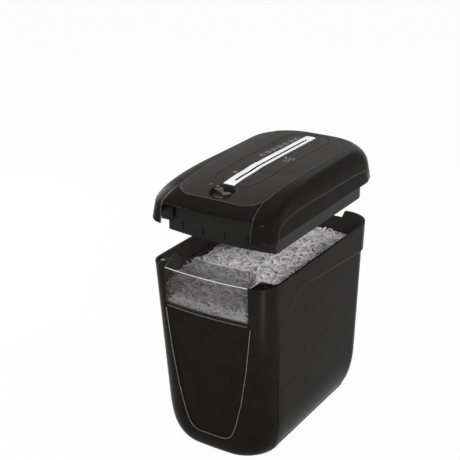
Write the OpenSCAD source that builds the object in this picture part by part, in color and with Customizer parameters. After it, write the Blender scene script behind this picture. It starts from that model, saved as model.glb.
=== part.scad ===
// Cross-cut paper shredder: a tapered waste bin with a smoked window in its
// front, and a lift-off shredding head that holds the motor, the gear train
// and two interleaved cutter stacks under a paper slot.
// Millimetres, +Z up, the window faces -Y, the floor is Z = 0.

/* [Bin] */
// outer width of the bin at its rim
bin_w = 225; // [221:1:245]
// outer length of the bin at its rim, without the bow of the front
bin_l = 372; // [330:1:400]
// height of the rim above the floor
bin_h = 326; // [270:1:380]
// thickness of the bin's walls
bin_wall = 3; // [2.4:0.1:4]
// how far each side leans in, per mm of height
side_taper = 0.029; // [0:0.001:0.06]
// how far the front leans back, per mm of height
front_rake = 0.037; // [0:0.001:0.07]
// how far the back leans in, per mm of height
back_taper = 0.015; // [0:0.001:0.04]
// corner radius at the front of the rim
front_corner_r = 35; // [25:1:45]
// growth of the front corner radius, per mm below the rim
front_corner_growth = 0.065; // [0:0.005:0.14]
// corner radius at the back of the rim
back_corner_r = 47; // [30:1:60]
// radius of the bow across the front
bow_r = 600; // [450:10:1200]
// how far the sides curve in towards the floor
side_foot_run = 23; // [8:1:34]
// height of the curve from the sides to the floor
side_foot_rise = 74; // [20:1:90]
// how far the front curves in towards the floor
front_foot_run = 14; // [6:1:24]
// height of the curve from the front to the floor
front_foot_rise = 42; // [12:1:60]
// how far the back curves in towards the floor
back_foot_run = 15; // [6:1:24]
// height of the curve from the back to the floor
back_foot_rise = 75; // [20:1:90]
// depth of the recessed side and front panels
panel_depth = 3; // [1.5:0.5:4]
// distance of the side panel's front edge behind the front
side_panel_in = 82; // [70:1:100]
// how far that edge runs forward towards the floor
side_panel_sweep = 6; // [0:1:12]
// distance of the side panel's top edge below the rim, at its front end
side_panel_drop = 35; // [28:1:60]
// fall of that edge towards the back, per mm of length
side_panel_fall = 0.085; // [0:0.005:0.12]
// radius of the side panel's upper front corner
side_panel_r = 45; // [20:1:60]
// width of the groove between a pillar and the side
pillar_groove_w = 1.6; // [1:0.1:3]
// how far that groove runs back towards the floor
pillar_groove_run = 19; // [6:1:30]
// half width of the hand cut-out in the back of the rim
back_cut_half = 56; // [40:1:70]
// depth of the hand cut-out in the back of the rim
back_cut_depth = 14; // [8:1:20]

/* [Window] */
// half width of the window
window_half = 77.5; // [60:0.5:80]
// height of the front pane below the rim
window_drop = 65; // [45:1:90]
// thickness of the window moulding
window_t = 2.5; // [2:0.1:4]
// how far the sloping ledge runs back from the pane
ledge_run = 26; // [18:1:34]
// how far the ledge rises above the rim
ledge_rise = 15.5; // [8:0.5:22]
// gap all round the window in its opening
window_gap = 0.3; // [0.2:0.05:0.6]
// distance of each ear screw from the side of the rim
ear_screw_in = 15.5; // [13:0.5:20]
// room left between the shredded paper and the seated head
paper_room = 2.5; // [1:0.5:60]

/* [Head casing] */
// how far the head's sides stand outside the bin's rim
head_side_over = 2.5; // [1:0.5:4]
// how far the head's front stands ahead of the bin's rim
head_front_over = 1; // [0:0.5:4]
// how far the head's back stands behind the bin's rim
head_back_over = 13; // [2:1:18]
// height of the upright lower part of the head's side
side_edge_h = 26; // [18:1:34]
// how far the upright lower part leans in, per mm of height
side_lean = 0.15; // [0:0.01:0.2]
// height of the head's shoulders above the rim
head_h = 60; // [54:1:66]
// crown of the top between the shoulders
crown = 2; // [0:0.5:5]
// run of the curve from the side to the shoulder
shoulder_run = 20; // [10:1:30]
// run of the curve from the front to the top
brow_run = 130; // [80:1:140]
// run of the curve from the back to the top
tail_run = 10; // [6:1:30]
// corner radius at the front of the head
cheek_r = 36; // [28:1:40]
// growth of the front corner radius from the side to the top
cheek_growth = 45; // [0:1:50]
// corner radius at the back of the head
head_back_r = 52; // [36:1:56]
// growth of the back corner radius from the side to the top
head_back_growth = 23; // [0:1:34]
// thickness of the head's shell
shell_t = 3.2; // [2.8:0.1:4]
// depth of the recess round the head's sides and back
head_panel_depth = 1.8; // [1:0.1:2.2]
// half width of the finger openings
grip_half = 78; // [60:1:82]
// height of the finger openings
grip_h = 33; // [24:1:38]
// depth of the lower casing below the rim
casing_drop = 29.5; // [26:0.5:34]
// distance of the lower casing's side from the side of the head
casing_side_gap = 15; // [14:0.5:16]
// place of the lower casing's front wall at the centre plane
casing_front = -147; // [-152:1:-140]
// place of the lower casing's back wall
casing_back = 176.5; // [174:0.5:180]
// thickness of the lower casing
casing_t = 2.5; // [2:0.1:3.5]
// how far the head is held above its seat on the rim
lift = 74; // [0:1:120]
// gap left between the head and the rim when it is seated
seat_gap = 0.3; // [0:0.1:1]

/* [Deck and slot] */
// half width of the deck panel
deck_half = 74; // [60:1:84]
// front edge of the deck panel
deck_front = -157; // [-165:1:-140]
// back edge of the deck panel
deck_back = 189; // [170:1:190]
// corner radius of the deck panel
deck_r = 34; // [20:1:45]
// thickness of the deck panel
deck_t = 2; // [1.6:0.1:2.4]
// width of the ledge that carries the deck panel
deck_ledge = 6; // [4:0.5:10]
// length of the paper slot
slot_l = 238; // [220:1:238]
// width of the paper slot
slot_w = 7; // [5:0.5:9]
// place of the slot's middle along the head
slot_y = 23; // [20:1:26]
// length of the bright slot trim
trim_l = 270; // [256:1:274]
// width of the bright slot trim
trim_w = 21; // [16:0.5:26]
// how far the slot trim stands proud of the deck
trim_raise = 1; // [0.4:0.1:2]
// half width of the groove round the slot
groove_half = 41; // [34:1:46]
// length of the groove round the slot
groove_l = 280; // [276:1:290]

/* [Cutters and gears] */
// distance between the two cutter shafts
shaft_gap = 34; // [33:0.5:36]
// height of the cutter shafts above the rim
shaft_z = 2; // [0:0.5:4]
// outer radius of a cutting disc
disc_r = 21; // [20:0.5:21.5]
// thickness of a cutting disc
disc_t = 4.7; // [4.5:0.05:4.8]
// distance from one disc to the next on a shaft
disc_pitch = 10; // [10:0.5:12]
// number of discs on a shaft
disc_count = 24; // [20:1:24]
// radius of the cutter shaft between its discs
spacer_r = 12.2; // [10:0.1:12.5]
// radius of the cutter shaft's journals
journal_r = 7; // [5:0.5:8]
// running clearance of a shaft in its bearing
run_gap = 0.05; // [0.03:0.01:0.1]
// thickness of the steel end plates
plate_t = 2; // [1.5:0.5:3]
// module of the timing gears
timing_m = 2; // [2:0.5:2]
// teeth on each timing gear
timing_teeth = 17; // [17:1:17]
// face width of the timing gears
timing_face = 10; // [6:1:12]
// backlash of the gear teeth
backlash = 0.2; // [0.15:0.05:0.3]
// radius of the motor can
motor_r = 26; // [22:0.5:27]
// length of the motor can
motor_l = 78; // [60:1:84]

/* [Control] */
// distance of the control lever's pivot behind the front of the bin
control_back = 52; // [48:1:56]
// radius of the round well under the control lever
well_r = 22; // [18:1:24]
// depth of the well
well_depth = 8; // [5:0.5:10]
// how far the cord's gland stands out of the back
gland_out = 2; // [1:0.5:6]
// angle of the control lever at rest, from +X
control_angle = 149; // [120:1:160]

/* [Hidden] */

thin = 0.02;
over = 1;
seat_z = bin_h + lift;
head_w = bin_w + 2 * head_side_over;
casing_half = head_w / 2 - casing_side_gap;
ear_screw_x = bin_w / 2 - ear_screw_in;
lean_in = side_lean * side_edge_h;
screw_r = 1.6;
screw_gap = 0.06;
paper_top = bin_h - casing_drop - paper_room;
half_l = bin_l / 2;
head_front = -half_l - head_front_over;
head_bow = bow_r - sqrt(pow(bow_r, 2) - pow(head_w / 2 - cheek_r, 2));
head_back = half_l + head_back_over;
mid_y = (head_bow - head_front - head_back) / 2;
shell_gap = 0.3;
bow_depth = bow_r - sqrt(pow(bow_r, 2) - pow(bin_w / 2 - front_corner_r, 2));
flange_t = 2.5;
flange_in = shell_t + shell_gap + side_lean * flange_t;
floor_z = -casing_drop + casing_t;
cut_l = disc_pitch * disc_count;
cut_y0 = slot_y - cut_l / 2;
cut_y1 = slot_y + cut_l / 2;
shaft_x = shaft_gap / 2;
disc_side_gap = (disc_pitch / 2 - disc_t) / 2;
rod_x = 34;
rod_top = 30;
rod_low = -21;
rod_r = 3;
drive_m = 1.25;
drive_teeth = 40;
pinion_teeth = 14;
second_m = 1;
second_teeth = 48;
first_m = 0.8;
first_teeth = 60;
rotor_teeth = 12;
second_at = [-shaft_x, shaft_z]
  + drive_m * (drive_teeth + pinion_teeth) / 2 * [cos(38), sin(38)];
first_at = second_at
  + second_m * (second_teeth + pinion_teeth) / 2 * [cos(-8), sin(-8)];
motor_at = first_at + first_m * (first_teeth + rotor_teeth) / 2 * [cos(-5), sin(-5)];
rear_face = cut_y1 + plate_t + over;
drive_face = 9;
second_face = 6;
first_face = 4.5;
drive_y = rear_face + over;
second_y = drive_y + drive_face + over;
first_y = second_y + second_face + over;
cover_y = first_y + first_face + over;
pin_r = 2.5;
motor_y1 = cut_y1;
motor_y0 = motor_y1 - motor_l;
control_at = [1, -half_l + control_back];
spindle_r = 4;
well_floor = top_z(control_at[1]) - well_depth;
black = [0.07, 0.065, 0.065];
dark = [0.13, 0.12, 0.12];
steel = [0.62, 0.63, 0.65];

// ---------- plan outlines and forms ----------

function arc(cx, cy, r, a0, a1, n) =
  [for (i = [0 : n]) let (a = a0 + (a1 - a0) * i / n) [cx + r * cos(a), cy + r * sin(a)]];

// rounded plan with a bowed front: half width, front, back and corner radii
module plan(half, y0, y1, rf, rb, n = 8) {
  flat = half - rf;
  polygon(concat(
    arc(half - rb, y1 - rb, rb, 0, 90, n),
    arc(rb - half, y1 - rb, rb, 90, 180, n),
    arc(-flat, y0 + rf, rf, 180, 270, n),
    [for (i = [1 : 2 * n - 1]) let (x = flat * (i / n - 1))
      [x, y0 - (sqrt(bow_r * bow_r - x * x) - sqrt(bow_r * bow_r - flat * flat))]],
    arc(flat, y0 + rf, rf, 270, 360, n)));
}

module slice(z) {
  translate([0, 0, z]) linear_extrude(thin) children();
}

// how far a wall has curved in at height z, for a curve of this run and rise
function foot(z, run, rise) = z >= rise ? 0 : run * (1 - sqrt(1 - pow(1 - z / rise, 2)));

// the bin's plan at height z, pulled in by e on every side
module bin_plan(z, e) {
  down = bin_h - z;
  rf = front_corner_r + front_corner_growth * down;
  plan(bin_w / 2 - side_taper * down - foot(z, side_foot_run, side_foot_rise) - e,
    -half_l + front_rake * down + foot(z, front_foot_run, front_foot_rise) + e,
    half_l - back_taper * down - foot(z, back_foot_run, back_foot_rise) - e,
    max(rf - e, 2), max(back_corner_r - e, 2));
}

// solid outer form of the bin, its sides pulled in by e and its floor at low
module bin_form(e = 0, top = 0, low = 0) {
  foot_top = max(side_foot_rise, front_foot_rise, back_foot_rise);
  hull() {
    slice(bin_h + top - thin) bin_plan(bin_h + top, e);
    for (i = [0 : 6]) {
      z = low + (foot_top - low) * (1 - cos(15 * i));
      slice(z) bin_plan(z, e);
    }
  }
}

// solid outer form of the head over its seat, pulled in by e
module head_form(e = 0, base = 0) {
  hull() {
    slice(base) plan(head_w / 2 - e, head_front + e, head_back - e, cheek_r - e, head_back_r - e);
    for (i = [0 : 7]) {
      t = 90 * i / 7;
      k = 1 - cos(t);
      z = side_edge_h + (head_h - side_edge_h) * sin(t);
      slice(z - e * sin(t) - thin)
        plan(head_w / 2 - lean_in - e * cos(t) - shoulder_run * k,
          head_front + lean_in + e * cos(t) + brow_run * k,
          head_back - lean_in - e * cos(t) - tail_run * k,
          cheek_r + cheek_growth * k - e * cos(t),
          head_back_r + head_back_growth * k - e * cos(t));
    }
    slice(head_h + crown - e - thin)
      plan(head_w / 2 - 75, head_front + brow_run + 40, head_back - tail_run - 60, cheek_r, cheek_r);
  }
}

// height of the head's top along its centre line
function top_z(y) =
  let (brow = head_front + lean_in)
  y < brow + brow_run
  ? side_edge_h + (head_h - side_edge_h) * sqrt(1 - pow(1 - (y - brow) / brow_run, 2))
  : head_h + crown * min(1, (y - brow - brow_run) / 36, (head_back - lean_in - tail_run - y) / 56);

// the casing's plan, pulled in by e
module casing_plan(e = 0) {
  intersection() {
    translate([0, casing_front + bow_r]) circle(bow_r - e, $fn = 360);
    translate([e - casing_half, casing_front]) square([2 * (casing_half - e), 60]);
  }
  hull() {
    translate([e - casing_half, casing_front + 20]) square([2 * (casing_half - e), 20]);
    for (s = [-1, 1])
      translate([s * (casing_half - 34), casing_back - 34]) circle(34 - e, $fn = 48);
  }
}

module rounded(w, h, r) {
  hull() for (x = [r, w - r], y = [r, h - r]) translate([x, y]) circle(r, $fn = 24);
}

// a cylinder along Y from y0 to y1 at place [x, z]
module rod(at, r, y0, y1, fn = 48) {
  translate([at[0], y1, at[1]]) rotate([90, 0, 0]) cylinder(h = y1 - y0, r = r, $fn = fn);
}

// a flat profile drawn in X and Z, standing from y0 to y1
module upright(y0, y1) {
  translate([0, y1, 0]) rotate([90, 0, 0]) linear_extrude(y1 - y0) children();
}

// involute tooth flank: half angle of the tooth at radius r
function inv(a) = tan(a) * 180 / PI - a;
function half_tooth(m, z, r) =
  let (rp = m * z / 2, rb = rp * cos(20))
  90 / z - backlash / 4 / rp * 180 / PI + inv(20) - inv(acos(min(1, rb / max(r, rb))));

// gear profile with one tooth centred on the angle turn
module gear(m, z, turn = 0, tip = 0.78) {
  rp = m * z / 2;
  ra = rp + tip * m;
  rr = rp - 1.2 * m;
  steps = [rr, max(rr + 0.01, rp * cos(20)), rp, ra];
  polygon([for (i = [0 : z - 1]) for (k = [0 : 7])
    let (r = steps[k < 4 ? k : 7 - k], side = k < 4 ? -1 : 1,
      a = turn + 360 * i / z + side * half_tooth(m, z, r))
    [r * cos(a), r * sin(a)]]);
}

// turn of a gear with z2 teeth that meshes with z1 teeth turned by t1,
// the second centre lying at the angle th from the first
function mesh_turn(z1, t1, z2, th) = th + 180 - 180 / z2 + (th - t1) * z1 / z2;

// moves a piece so that the origin lies under the middle of the whole
module centred() {
  translate([0, mid_y, 0]) children();
}

function heading(a, b) = atan2(b[1] - a[1], b[0] - a[0]);

// ---------- bin ----------

module bin_body() {
  centred() color(black) difference() {
    union() {
      difference() {
        bin_form();
        // recessed sides, back and front
        difference() {
          union() {
            side_panels();
            front_panel();
          }
          bin_form(panel_depth);
        }
        // open inside, stepped in behind the recesses
        difference() {
          bin_form(bin_wall, 2 * over, bin_wall);
          difference() {
            union() {
              side_panels(bin_wall);
              front_panel(bin_wall);
            }
            bin_form(panel_depth + bin_wall, 2 * over, bin_wall);
          }
          // ears across the front corners
          for (s = [-1, 1]) translate([s > 0 ? window_half + 2 : -bin_w / 2, -half_l - 10, bin_h - 9])
            cube([bin_w / 2 - window_half - 2, front_corner_r + 13, 7]);
        }
      }
      interlock_post();
    }
    // window opening
    upright(-half_l - 20, -half_l + 45)
      translate([-window_half - window_gap, bin_h - window_drop])
        square([2 * (window_half + window_gap), window_drop + over]);
    // hand cut-out in the back
    upright(half_l - 30, half_l + 20)
      translate([-back_cut_half, bin_h - back_cut_depth])
        rounded(2 * back_cut_half, 3 * back_cut_depth, 9);
    pillar_grooves();
    for (s = [-1, 1]) translate([s * ear_screw_x, -half_l + 23, bin_h - 10])
      cylinder(h = 12, r = screw_r + screw_gap, $fn = 24);
  }
}

// the sides' recess seen from the side, grown by g
module side_panels(g = 0) {
  y0 = -half_l + side_panel_in - g;
  r = side_panel_r + g;
  slant = sqrt(1 + pow(side_panel_fall, 2));
  cy = y0 + r;
  cz = bin_h - side_panel_drop + g * slant - r * slant;
  y1 = half_l + 40;
  steep = atan2(1, side_panel_fall);
  rotate([90, 0, 90]) translate([0, 0, -bin_w]) linear_extrude(2 * bin_w)
    polygon(concat(
      [[y0 - side_panel_sweep, -over], [y1, -over], [y1, cz + r * slant - side_panel_fall * (y1 - cy)]],
      [for (i = [0 : 16]) let (a = steep + (180 - steep) * i / 16) [cy + r * cos(a), cz + r * sin(a)]]));
}

// the front's recess, narrowing towards the floor, grown by g
module front_panel(g = 0) {
  top = bin_h - window_drop - 8 + g;
  upright(-half_l - 20, -half_l + 60) hull() {
    translate([-window_half - g, top - 4]) square([2 * window_half + 2 * g, 4]);
    for (s = [-1, 1]) {
      translate([s * (window_half - 39.5), bin_h - 208]) circle(24 + g, $fn = 48);
      translate([s * (window_half - 65.5), bin_h - 256]) circle(38 + g, $fn = 72);
    }
  }
}

// slanting grooves that part the pillars from the sides
module pillar_grooves() {
  difference() {
    for (s = [-1, 1]) hull() {
      translate([s > 0 ? 60 : -bin_w, -half_l + front_corner_r, bin_h - over])
        cube([bin_w - 60, pillar_groove_w, 2 * over]);
      translate([s > 0 ? 60 : -bin_w, -half_l + front_corner_r + pillar_groove_run, -over])
        cube([bin_w - 60, pillar_groove_w, over]);
    }
    bin_form(1.4, 2 * over);
  }
}

// upright rib inside the bin that meets the interlock pin of the seated head
interlock_at = [-casing_half - 5, 100];
module interlock_post() {
  wall_in = -bin_w / 2 + bin_wall + side_taper * 40 - 1.5;
  translate([wall_in, interlock_at[1] - 4, bin_h - 40])
    cube([interlock_at[0] + 3.5 - wall_in, 8, 40 - 12 - seat_gap]);
}

// the window's cross-section, run along the bow of the front
module window_sweep() {
  sweep = 2 * asin(window_half / bow_r);
  translate([0, bow_r - half_l - bow_depth, bin_h])
    rotate([0, 0, -90 - sweep]) rotate_extrude(angle = 2 * sweep, $fn = 360) children();
}

module bin_window() {
  out = bow_r - 0.6;
  low = window_drop - window_gap;
  lean = front_rake * low;
  centred() color([0.36, 0.34, 0.33, 0.55]) intersection() {
    union() {
      window_sweep() polygon([
        [out - lean, -low], [out, 0], [out - ledge_run, ledge_rise],
        [out - ledge_run, ledge_rise - window_t], [out - window_t - 0.5, -1.5],
        [out - window_t - lean, -low]]);
      // three-cornered cheeks that close the ledge at both ends
      intersection() {
        window_sweep() polygon([[out - 1, -1], [out - 1, 0], [out - ledge_run, ledge_rise - 0.6],
          [out - ledge_run, -1]]);
        for (s = [-1, 1]) translate([s * (window_half - window_t / 2), -half_l, bin_h])
          cube([window_t, 90, 80], center = true);
      }
    }
    translate([-window_half, -half_l - 20, 0]) cube([2 * window_half, 80, bin_h + 40]);
  }
}

module ear_screws() {
  centred() color(steel) for (s = [-1, 1]) translate([s * ear_screw_x, -half_l + 23, bin_h - 9]) {
    cylinder(h = 7, r = screw_r, $fn = 24);
    translate([0, 0, 7]) cylinder(h = 1.4, r = 2 * screw_r, $fn = 32);
  }
}

module shredded_paper() {
  side = bin_wall + panel_depth + 0.4;
  centred() color([0.93, 0.91, 0.9]) hull() {
    slice(bin_wall) bin_plan(bin_wall, side + 13);
    slice(bin_wall + 5) bin_plan(bin_wall + 5, side + 5);
    slice(24) bin_plan(24, side);
    slice(paper_top - 11) bin_plan(paper_top - 11, side);
    slice(paper_top - 4) bin_plan(paper_top - 4, side + 14);
    slice(paper_top) bin_plan(paper_top, side + 44);
  }
}

// ---------- head: casing and deck ----------

module deck_outline(e = 0) {
  translate([-deck_half + e, deck_front + e])
    rounded(2 * (deck_half - e), deck_back - deck_front - 2 * e, deck_r);
}

module stadium(l, w) {
  hull() for (s = [-1, 1]) translate([0, slot_y + s * (l - w) / 2]) circle(w / 2, $fn = 64);
}

module slot_outline(l, w) {
  translate([-w / 2, slot_y - l / 2]) square([w, l]);
}

module head_shell() {
  centred() color(black) translate([0, 0, seat_z]) difference() {
    union() {
      difference() {
        head_form();
        head_form(shell_t, -over);
        // recessed side panels that run round the back corners
        difference() {
          head_side_panels();
          head_form(head_panel_depth, -over);
        }
      }
      // screw bosses
      intersection() {
        head_form(0.5);
        for (s = [-1, 1], y = [casing_front + 26, casing_back - 26])
          translate([s * (casing_half - 9), y, 6]) cylinder(h = head_h, r = 4.5, $fn = 32);
      }
    }
    // finger openings
    upright(head_front - 20, head_front + 50) grip_opening(grip_half, grip_h);
    upright(head_back - 14, head_back + 20) grip_opening(rear_grip_half, grip_h - 5);
    // rebate and opening for the deck
    difference() {
      translate([0, 0, 20]) linear_extrude(60) deck_outline(-shell_gap);
      head_form(deck_t);
    }
    translate([0, 0, 20]) linear_extrude(60) deck_outline(deck_ledge);
    well_form(well_floor - 3, 1.8 + shell_gap);
    for (s = [-1, 1], y = [casing_front + 26, casing_back - 26])
      translate([s * (casing_half - 9), y, 0]) cylinder(h = 30, r = screw_r + screw_gap, $fn = 24);
    gland_frame() lying(5 + screw_gap, -20, 20);
  }
}

// true lean of the back wall, which runs straight on into its rounded top
back_lean = min([for (t = [0 : 3 : 60])
  (lean_in + tail_run * (1 - cos(t))) / (side_edge_h + (head_h - side_edge_h) * sin(t))]);

// frame of the cord's gland, square to the leaning back wall at its outer face
gland_at = [head_w / 2 - head_back_r - 7, 14];
rear_grip_half = min(grip_half, gland_at[0] - 10);
module gland_frame() {
  translate([gland_at[0], head_back - back_lean * gland_at[1] - head_panel_depth, gland_at[1]])
    rotate([atan(back_lean), 0, 0]) children();
}

// a cylinder that lies along Y from y0 to y1
module lying(r, y0, y1) {
  translate([0, y1, 0]) rotate([90, 0, 0]) cylinder(h = y1 - y0, r = r, $fn = 48);
}

module grip_opening(half, h) {
  translate([-half, -30]) rounded(2 * half, h + 30, 9);
}

module head_side_panels() {
  y0 = head_front + 32;
  r = 26;
  rotate([90, 0, 90]) translate([0, 0, -bin_w]) linear_extrude(2 * bin_w)
    difference() {
      translate([y0, 4]) square([bin_l, side_edge_h]);
      translate([y0, 4 + side_edge_h - r]) difference() {
        square([r, r]);
        translate([r, 0]) circle(r, $fn = 72);
      }
    }
}

// drafted form of the control's well, from height z and grown by g
module well_form(z, g) {
  translate([control_at[0], control_at[1], 0]) hull() {
    translate([0, 0, z]) cylinder(h = thin, r = well_r - 2.5 + g, $fn = 64);
    translate([0, 0, z + well_depth + 12]) cylinder(h = thin, r = well_r + g, $fn = 64);
  }
}

module deck_panel() {
  centred() color(dark) translate([0, 0, seat_z]) difference() {
    union() {
      intersection() {
        translate([0, 0, 20]) linear_extrude(60) deck_outline();
        difference() {
          head_form(-0.3);
          head_form(deck_t);
        }
      }
      // round well for the control lever
      intersection() {
        head_form(0.5);
        well_form(well_floor - 2, 1.8);
      }
    }
    well_form(well_floor, 0);
    // slot and the thin groove round it
    linear_extrude(90) slot_outline(trim_l, trim_w);
    difference() {
      translate([0, 0, 30]) linear_extrude(60) difference() {
        stadium(groove_l, 2 * groove_half);
        stadium(groove_l - 1.6, 2 * groove_half - 1.6);
      }
      head_form(0.8);
    }
    // spindle hole of the control
    translate([control_at[0], control_at[1], 20]) cylinder(h = 60, r = spindle_r + run_gap, $fn = 32);
  }
}

// cross-section of the slot with its flared lead-in, down from height z
module slot_section(z) {
  w = slot_w / 2;
  polygon([[-w, z - 20], [w, z - 20], [w, z - 3.4], [w + 0.7, z - 1.6], [w + 2.2, z - 0.4],
    [w + 4.4, z + 0.2], [w + 5, z + 6], [-w - 5, z + 6], [-w - 4.4, z + 0.2],
    [-w - 2.2, z - 0.4], [-w - 0.7, z - 1.6], [-w, z - 3.4]]);
}

module slot_trim() {
  z = head_h + crown;
  y0 = slot_y - trim_l / 2;
  y1 = slot_y + trim_l / 2;
  centred() color([0.82, 0.82, 0.83]) translate([0, 0, seat_z]) difference() {
    union() {
      rotate([90, 0, 90]) translate([0, trim_raise, -trim_w / 2]) linear_extrude(trim_w)
        polygon(concat([[y0, z - 13], [y1, z - 13]],
          [for (i = [0 : 18]) let (y = y1 + (y0 - y1) * i / 18) [y, top_z(y)]]));
      translate([0, 0, z - 16]) linear_extrude(9) slot_outline(slot_l + 3, slot_w + 5);
    }
    upright(slot_y - slot_l / 2, slot_y + slot_l / 2) slot_section(z);
  }
}

module throat_guides() {
  top = head_h + crown - 17;
  low = shaft_z + disc_r + 1;
  centred() color(dark) translate([0, 0, seat_z]) for (s = [-1, 1])
    difference() {
      upright(cut_y0, cut_y1) polygon([
        [s * (slot_w / 2), low], [s * (slot_w / 2 + 2), low],
        [s * (slot_w / 2 + 4), top], [s * (slot_w / 2 + 1.5), top]]);
      // window for the start flap
      if (s > 0) translate([0, slot_y - 3.6, low + 1]) cube([20, 7.2, top - low - 3]);
    }
}

module lower_casing() {
  centred() color(dark) translate([0, 0, seat_z]) difference() {
    union() {
      difference() {
        translate([0, 0, -casing_drop]) linear_extrude(casing_drop + 6) casing_plan();
        translate([0, 0, floor_z]) linear_extrude(60) casing_plan(casing_t);
      }
      // front and back walls of the finger pockets
      intersection() {
        difference() {
          translate([0, 0, -2.5]) linear_extrude(50) casing_plan(-2.5);
          translate([0, 0, -5]) linear_extrude(60) casing_plan(casing_t);
          translate([-bin_w, casing_front + 22, -5])
            cube([2 * bin_w, casing_back - casing_front - 44, 60]);
        }
        head_form(shell_t + shell_gap, -4);
      }
      // flange that seats on the rim
      difference() {
        linear_extrude(flange_t) intersection() {
          plan(head_w / 2 - flange_in, head_front + flange_in, head_back - flange_in,
            cheek_r, head_back_r - shell_t);
          translate([-bin_w, casing_front + 12]) square([2 * bin_w, casing_back - casing_front - 24]);
        }
        translate([0, 0, -over]) linear_extrude(10) casing_plan(0.5);
      }
      // ribs on the front wall
      for (i = [0 : 3]) let (x = -71 + 41 * i)
        translate([x - 1.6, casing_front + bow_r - sqrt(bow_r * bow_r - x * x) - 1.6, -22])
          cube([3.2, 4, 12]);
      // bosses under the shell's bosses
      for (s = [-1, 1], y = [casing_front + 26, casing_back - 26])
        translate([s * (casing_half - 9), y, floor_z - 1]) cylinder(h = 7 - floor_z, r = 5.5, $fn = 32);
    }
    // discharge opening under the cutters
    translate([-rod_x + 4, cut_y0 + 4, -casing_drop - over])
      cube([2 * rod_x - 8, cut_l - 8, casing_t + 2 * over]);
    for (s = [-1, 1], y = [casing_front + 26, casing_back - 26])
      translate([s * (casing_half - 9), y, -casing_drop - over]) {
        cylinder(h = 60, r = 2, $fn = 24);
        cylinder(h = 3 + over, r = 3.7, $fn = 32);
      }
    // room for the control's well
    well_form(well_floor - 3, 1.8 + shell_gap);
    // hole for the interlock pin
    translate([interlock_at[0], interlock_at[1], -over]) cylinder(h = 10, r = 2 + run_gap, $fn = 32);
    // cooling slots in the floor under the motor
    for (i = [0 : 5]) translate([motor_at[0] - 14, motor_y0 + 10 + 11 * i, -casing_drop - over])
      cube([28, 4, casing_t + 2 * over]);
  }
}

module casing_screws() {
  centred() color(steel) translate([0, 0, seat_z])
    for (s = [-1, 1], y = [casing_front + 26, casing_back - 26])
      translate([s * (casing_half - 9), y, -casing_drop + 0.6]) {
        cylinder(h = 2.4, r = 3.5, $fn = 32);
        cylinder(h = 46, r = screw_r, $fn = 24);
      }
}

// ---------- head: frame and cutters ----------

module plate_profile(right) {
  difference() {
    translate([-50, floor_z]) square([50 + right, 40 - floor_z]);
    for (s = [-1, 1]) {
      translate([s * shaft_x, shaft_z]) circle(journal_r + 2, $fn = 48);
      for (z = [rod_top, rod_low]) translate([s * rod_x, z]) circle(rod_r - 1, $fn = 24);
    }
    // the throat opens down between the guides
    translate([-slot_w / 2, shaft_z + disc_r + 14]) square([slot_w, 30]);
  }
}

module front_plate() {
  centred() color(steel) translate([0, 0, seat_z])
    upright(cut_y0 - plate_t, cut_y0) plate_profile(50);
}

module rear_plate() {
  centred() color(steel) translate([0, 0, seat_z]) upright(cut_y1, cut_y1 + plate_t) difference() {
    union() {
      plate_profile(50);
      hull() {
        translate([40, floor_z]) square([10, 40 - floor_z]);
        translate(motor_at) circle(motor_r, $fn = 64);
      }
    }
    translate(motor_at) circle(5, $fn = 32);
    for (a = [45, 225]) translate(motor_at + 16 * [cos(a), sin(a)]) circle(1.5, $fn = 24);
    for (c = [second_at, first_at]) translate(c) circle(pin_r - 0.5, $fn = 24);
  }
}

module tie_rods() {
  centred() color(steel) translate([0, 0, seat_z]) for (s = [-1, 1], z = [rod_top, rod_low]) {
    rod([s * rod_x, z], rod_r, cut_y0, cut_y1, 32);
    rod([s * rod_x, z], rod_r - 1, cut_y0 - plate_t - 2, cut_y1 + plate_t, 24);
    rod([s * rod_x, z], rod_r, cut_y0 - plate_t - 3, cut_y0 - plate_t, 6);
  }
}

module shaft_bushes() {
  centred() color([0.72, 0.55, 0.3]) translate([0, 0, seat_z])
    for (s = [-1, 1], y = [cut_y0 - plate_t, cut_y1]) difference() {
      union() {
        rod([s * shaft_x, shaft_z], journal_r + 2, y, y + plate_t);
      }
      rod([s * shaft_x, shaft_z], journal_r + run_gap, y - 5, y + 10);
    }
}

// comb whose fingers reach between the discs of one shaft
module stripper(s) {
  x_in = shaft_x + spacer_r + 0.8;
  x_out = shaft_x + disc_r + 1.5;
  centred() color([0.25, 0.25, 0.26]) translate([0, 0, seat_z]) {
    translate([s > 0 ? x_out : -x_out - 3, cut_y0, shaft_z - 14]) cube([3, cut_l, 16]);
    for (i = [0 : disc_count - 1])
      translate([s > 0 ? x_in : -x_out - 1,
          cut_y0 + disc_pitch * (i + (s > 0 ? 0 : 0.5)) + disc_side_gap + 0.4, shaft_z - 12])
        cube([x_out - x_in + 1, disc_t - 0.8, 12]);
  }
}

module stripper_left() stripper(-1);
module stripper_right() stripper(1);

// toothed cutting disc with hooked notches
module disc_outline(turn) {
  difference() {
    circle(disc_r, $fn = 60);
    for (k = [0 : 2]) rotate(turn + 120 * k)
      polygon([[disc_r + 1, -0.5], [disc_r - 3.6, -0.9], [disc_r - 1.2, 5.2], [disc_r + 1, 6.4]]);
  }
}

module cutter_shaft(s) {
  centred() color(steel) translate([0, 0, seat_z]) {
    rod([s * shaft_x, shaft_z], spacer_r, cut_y0 + 0.5, cut_y1 - 0.5, 60);
    rod([s * shaft_x, shaft_z], journal_r, cut_y0 - plate_t - timing_face - 5,
      s < 0 ? second_y - 0.2 : cut_y1 + plate_t + 0.8);
    for (i = [0 : disc_count - 1]) let (
      y = cut_y0 + disc_pitch * (i + (s > 0 ? 0.5 : 0)) + disc_side_gap)
      translate([s * shaft_x, y + disc_t, shaft_z]) rotate([90, 0, 0]) linear_extrude(disc_t)
        disc_outline(s * 13 * i + (s > 0 ? 60 : 0));
  }
}

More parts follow.
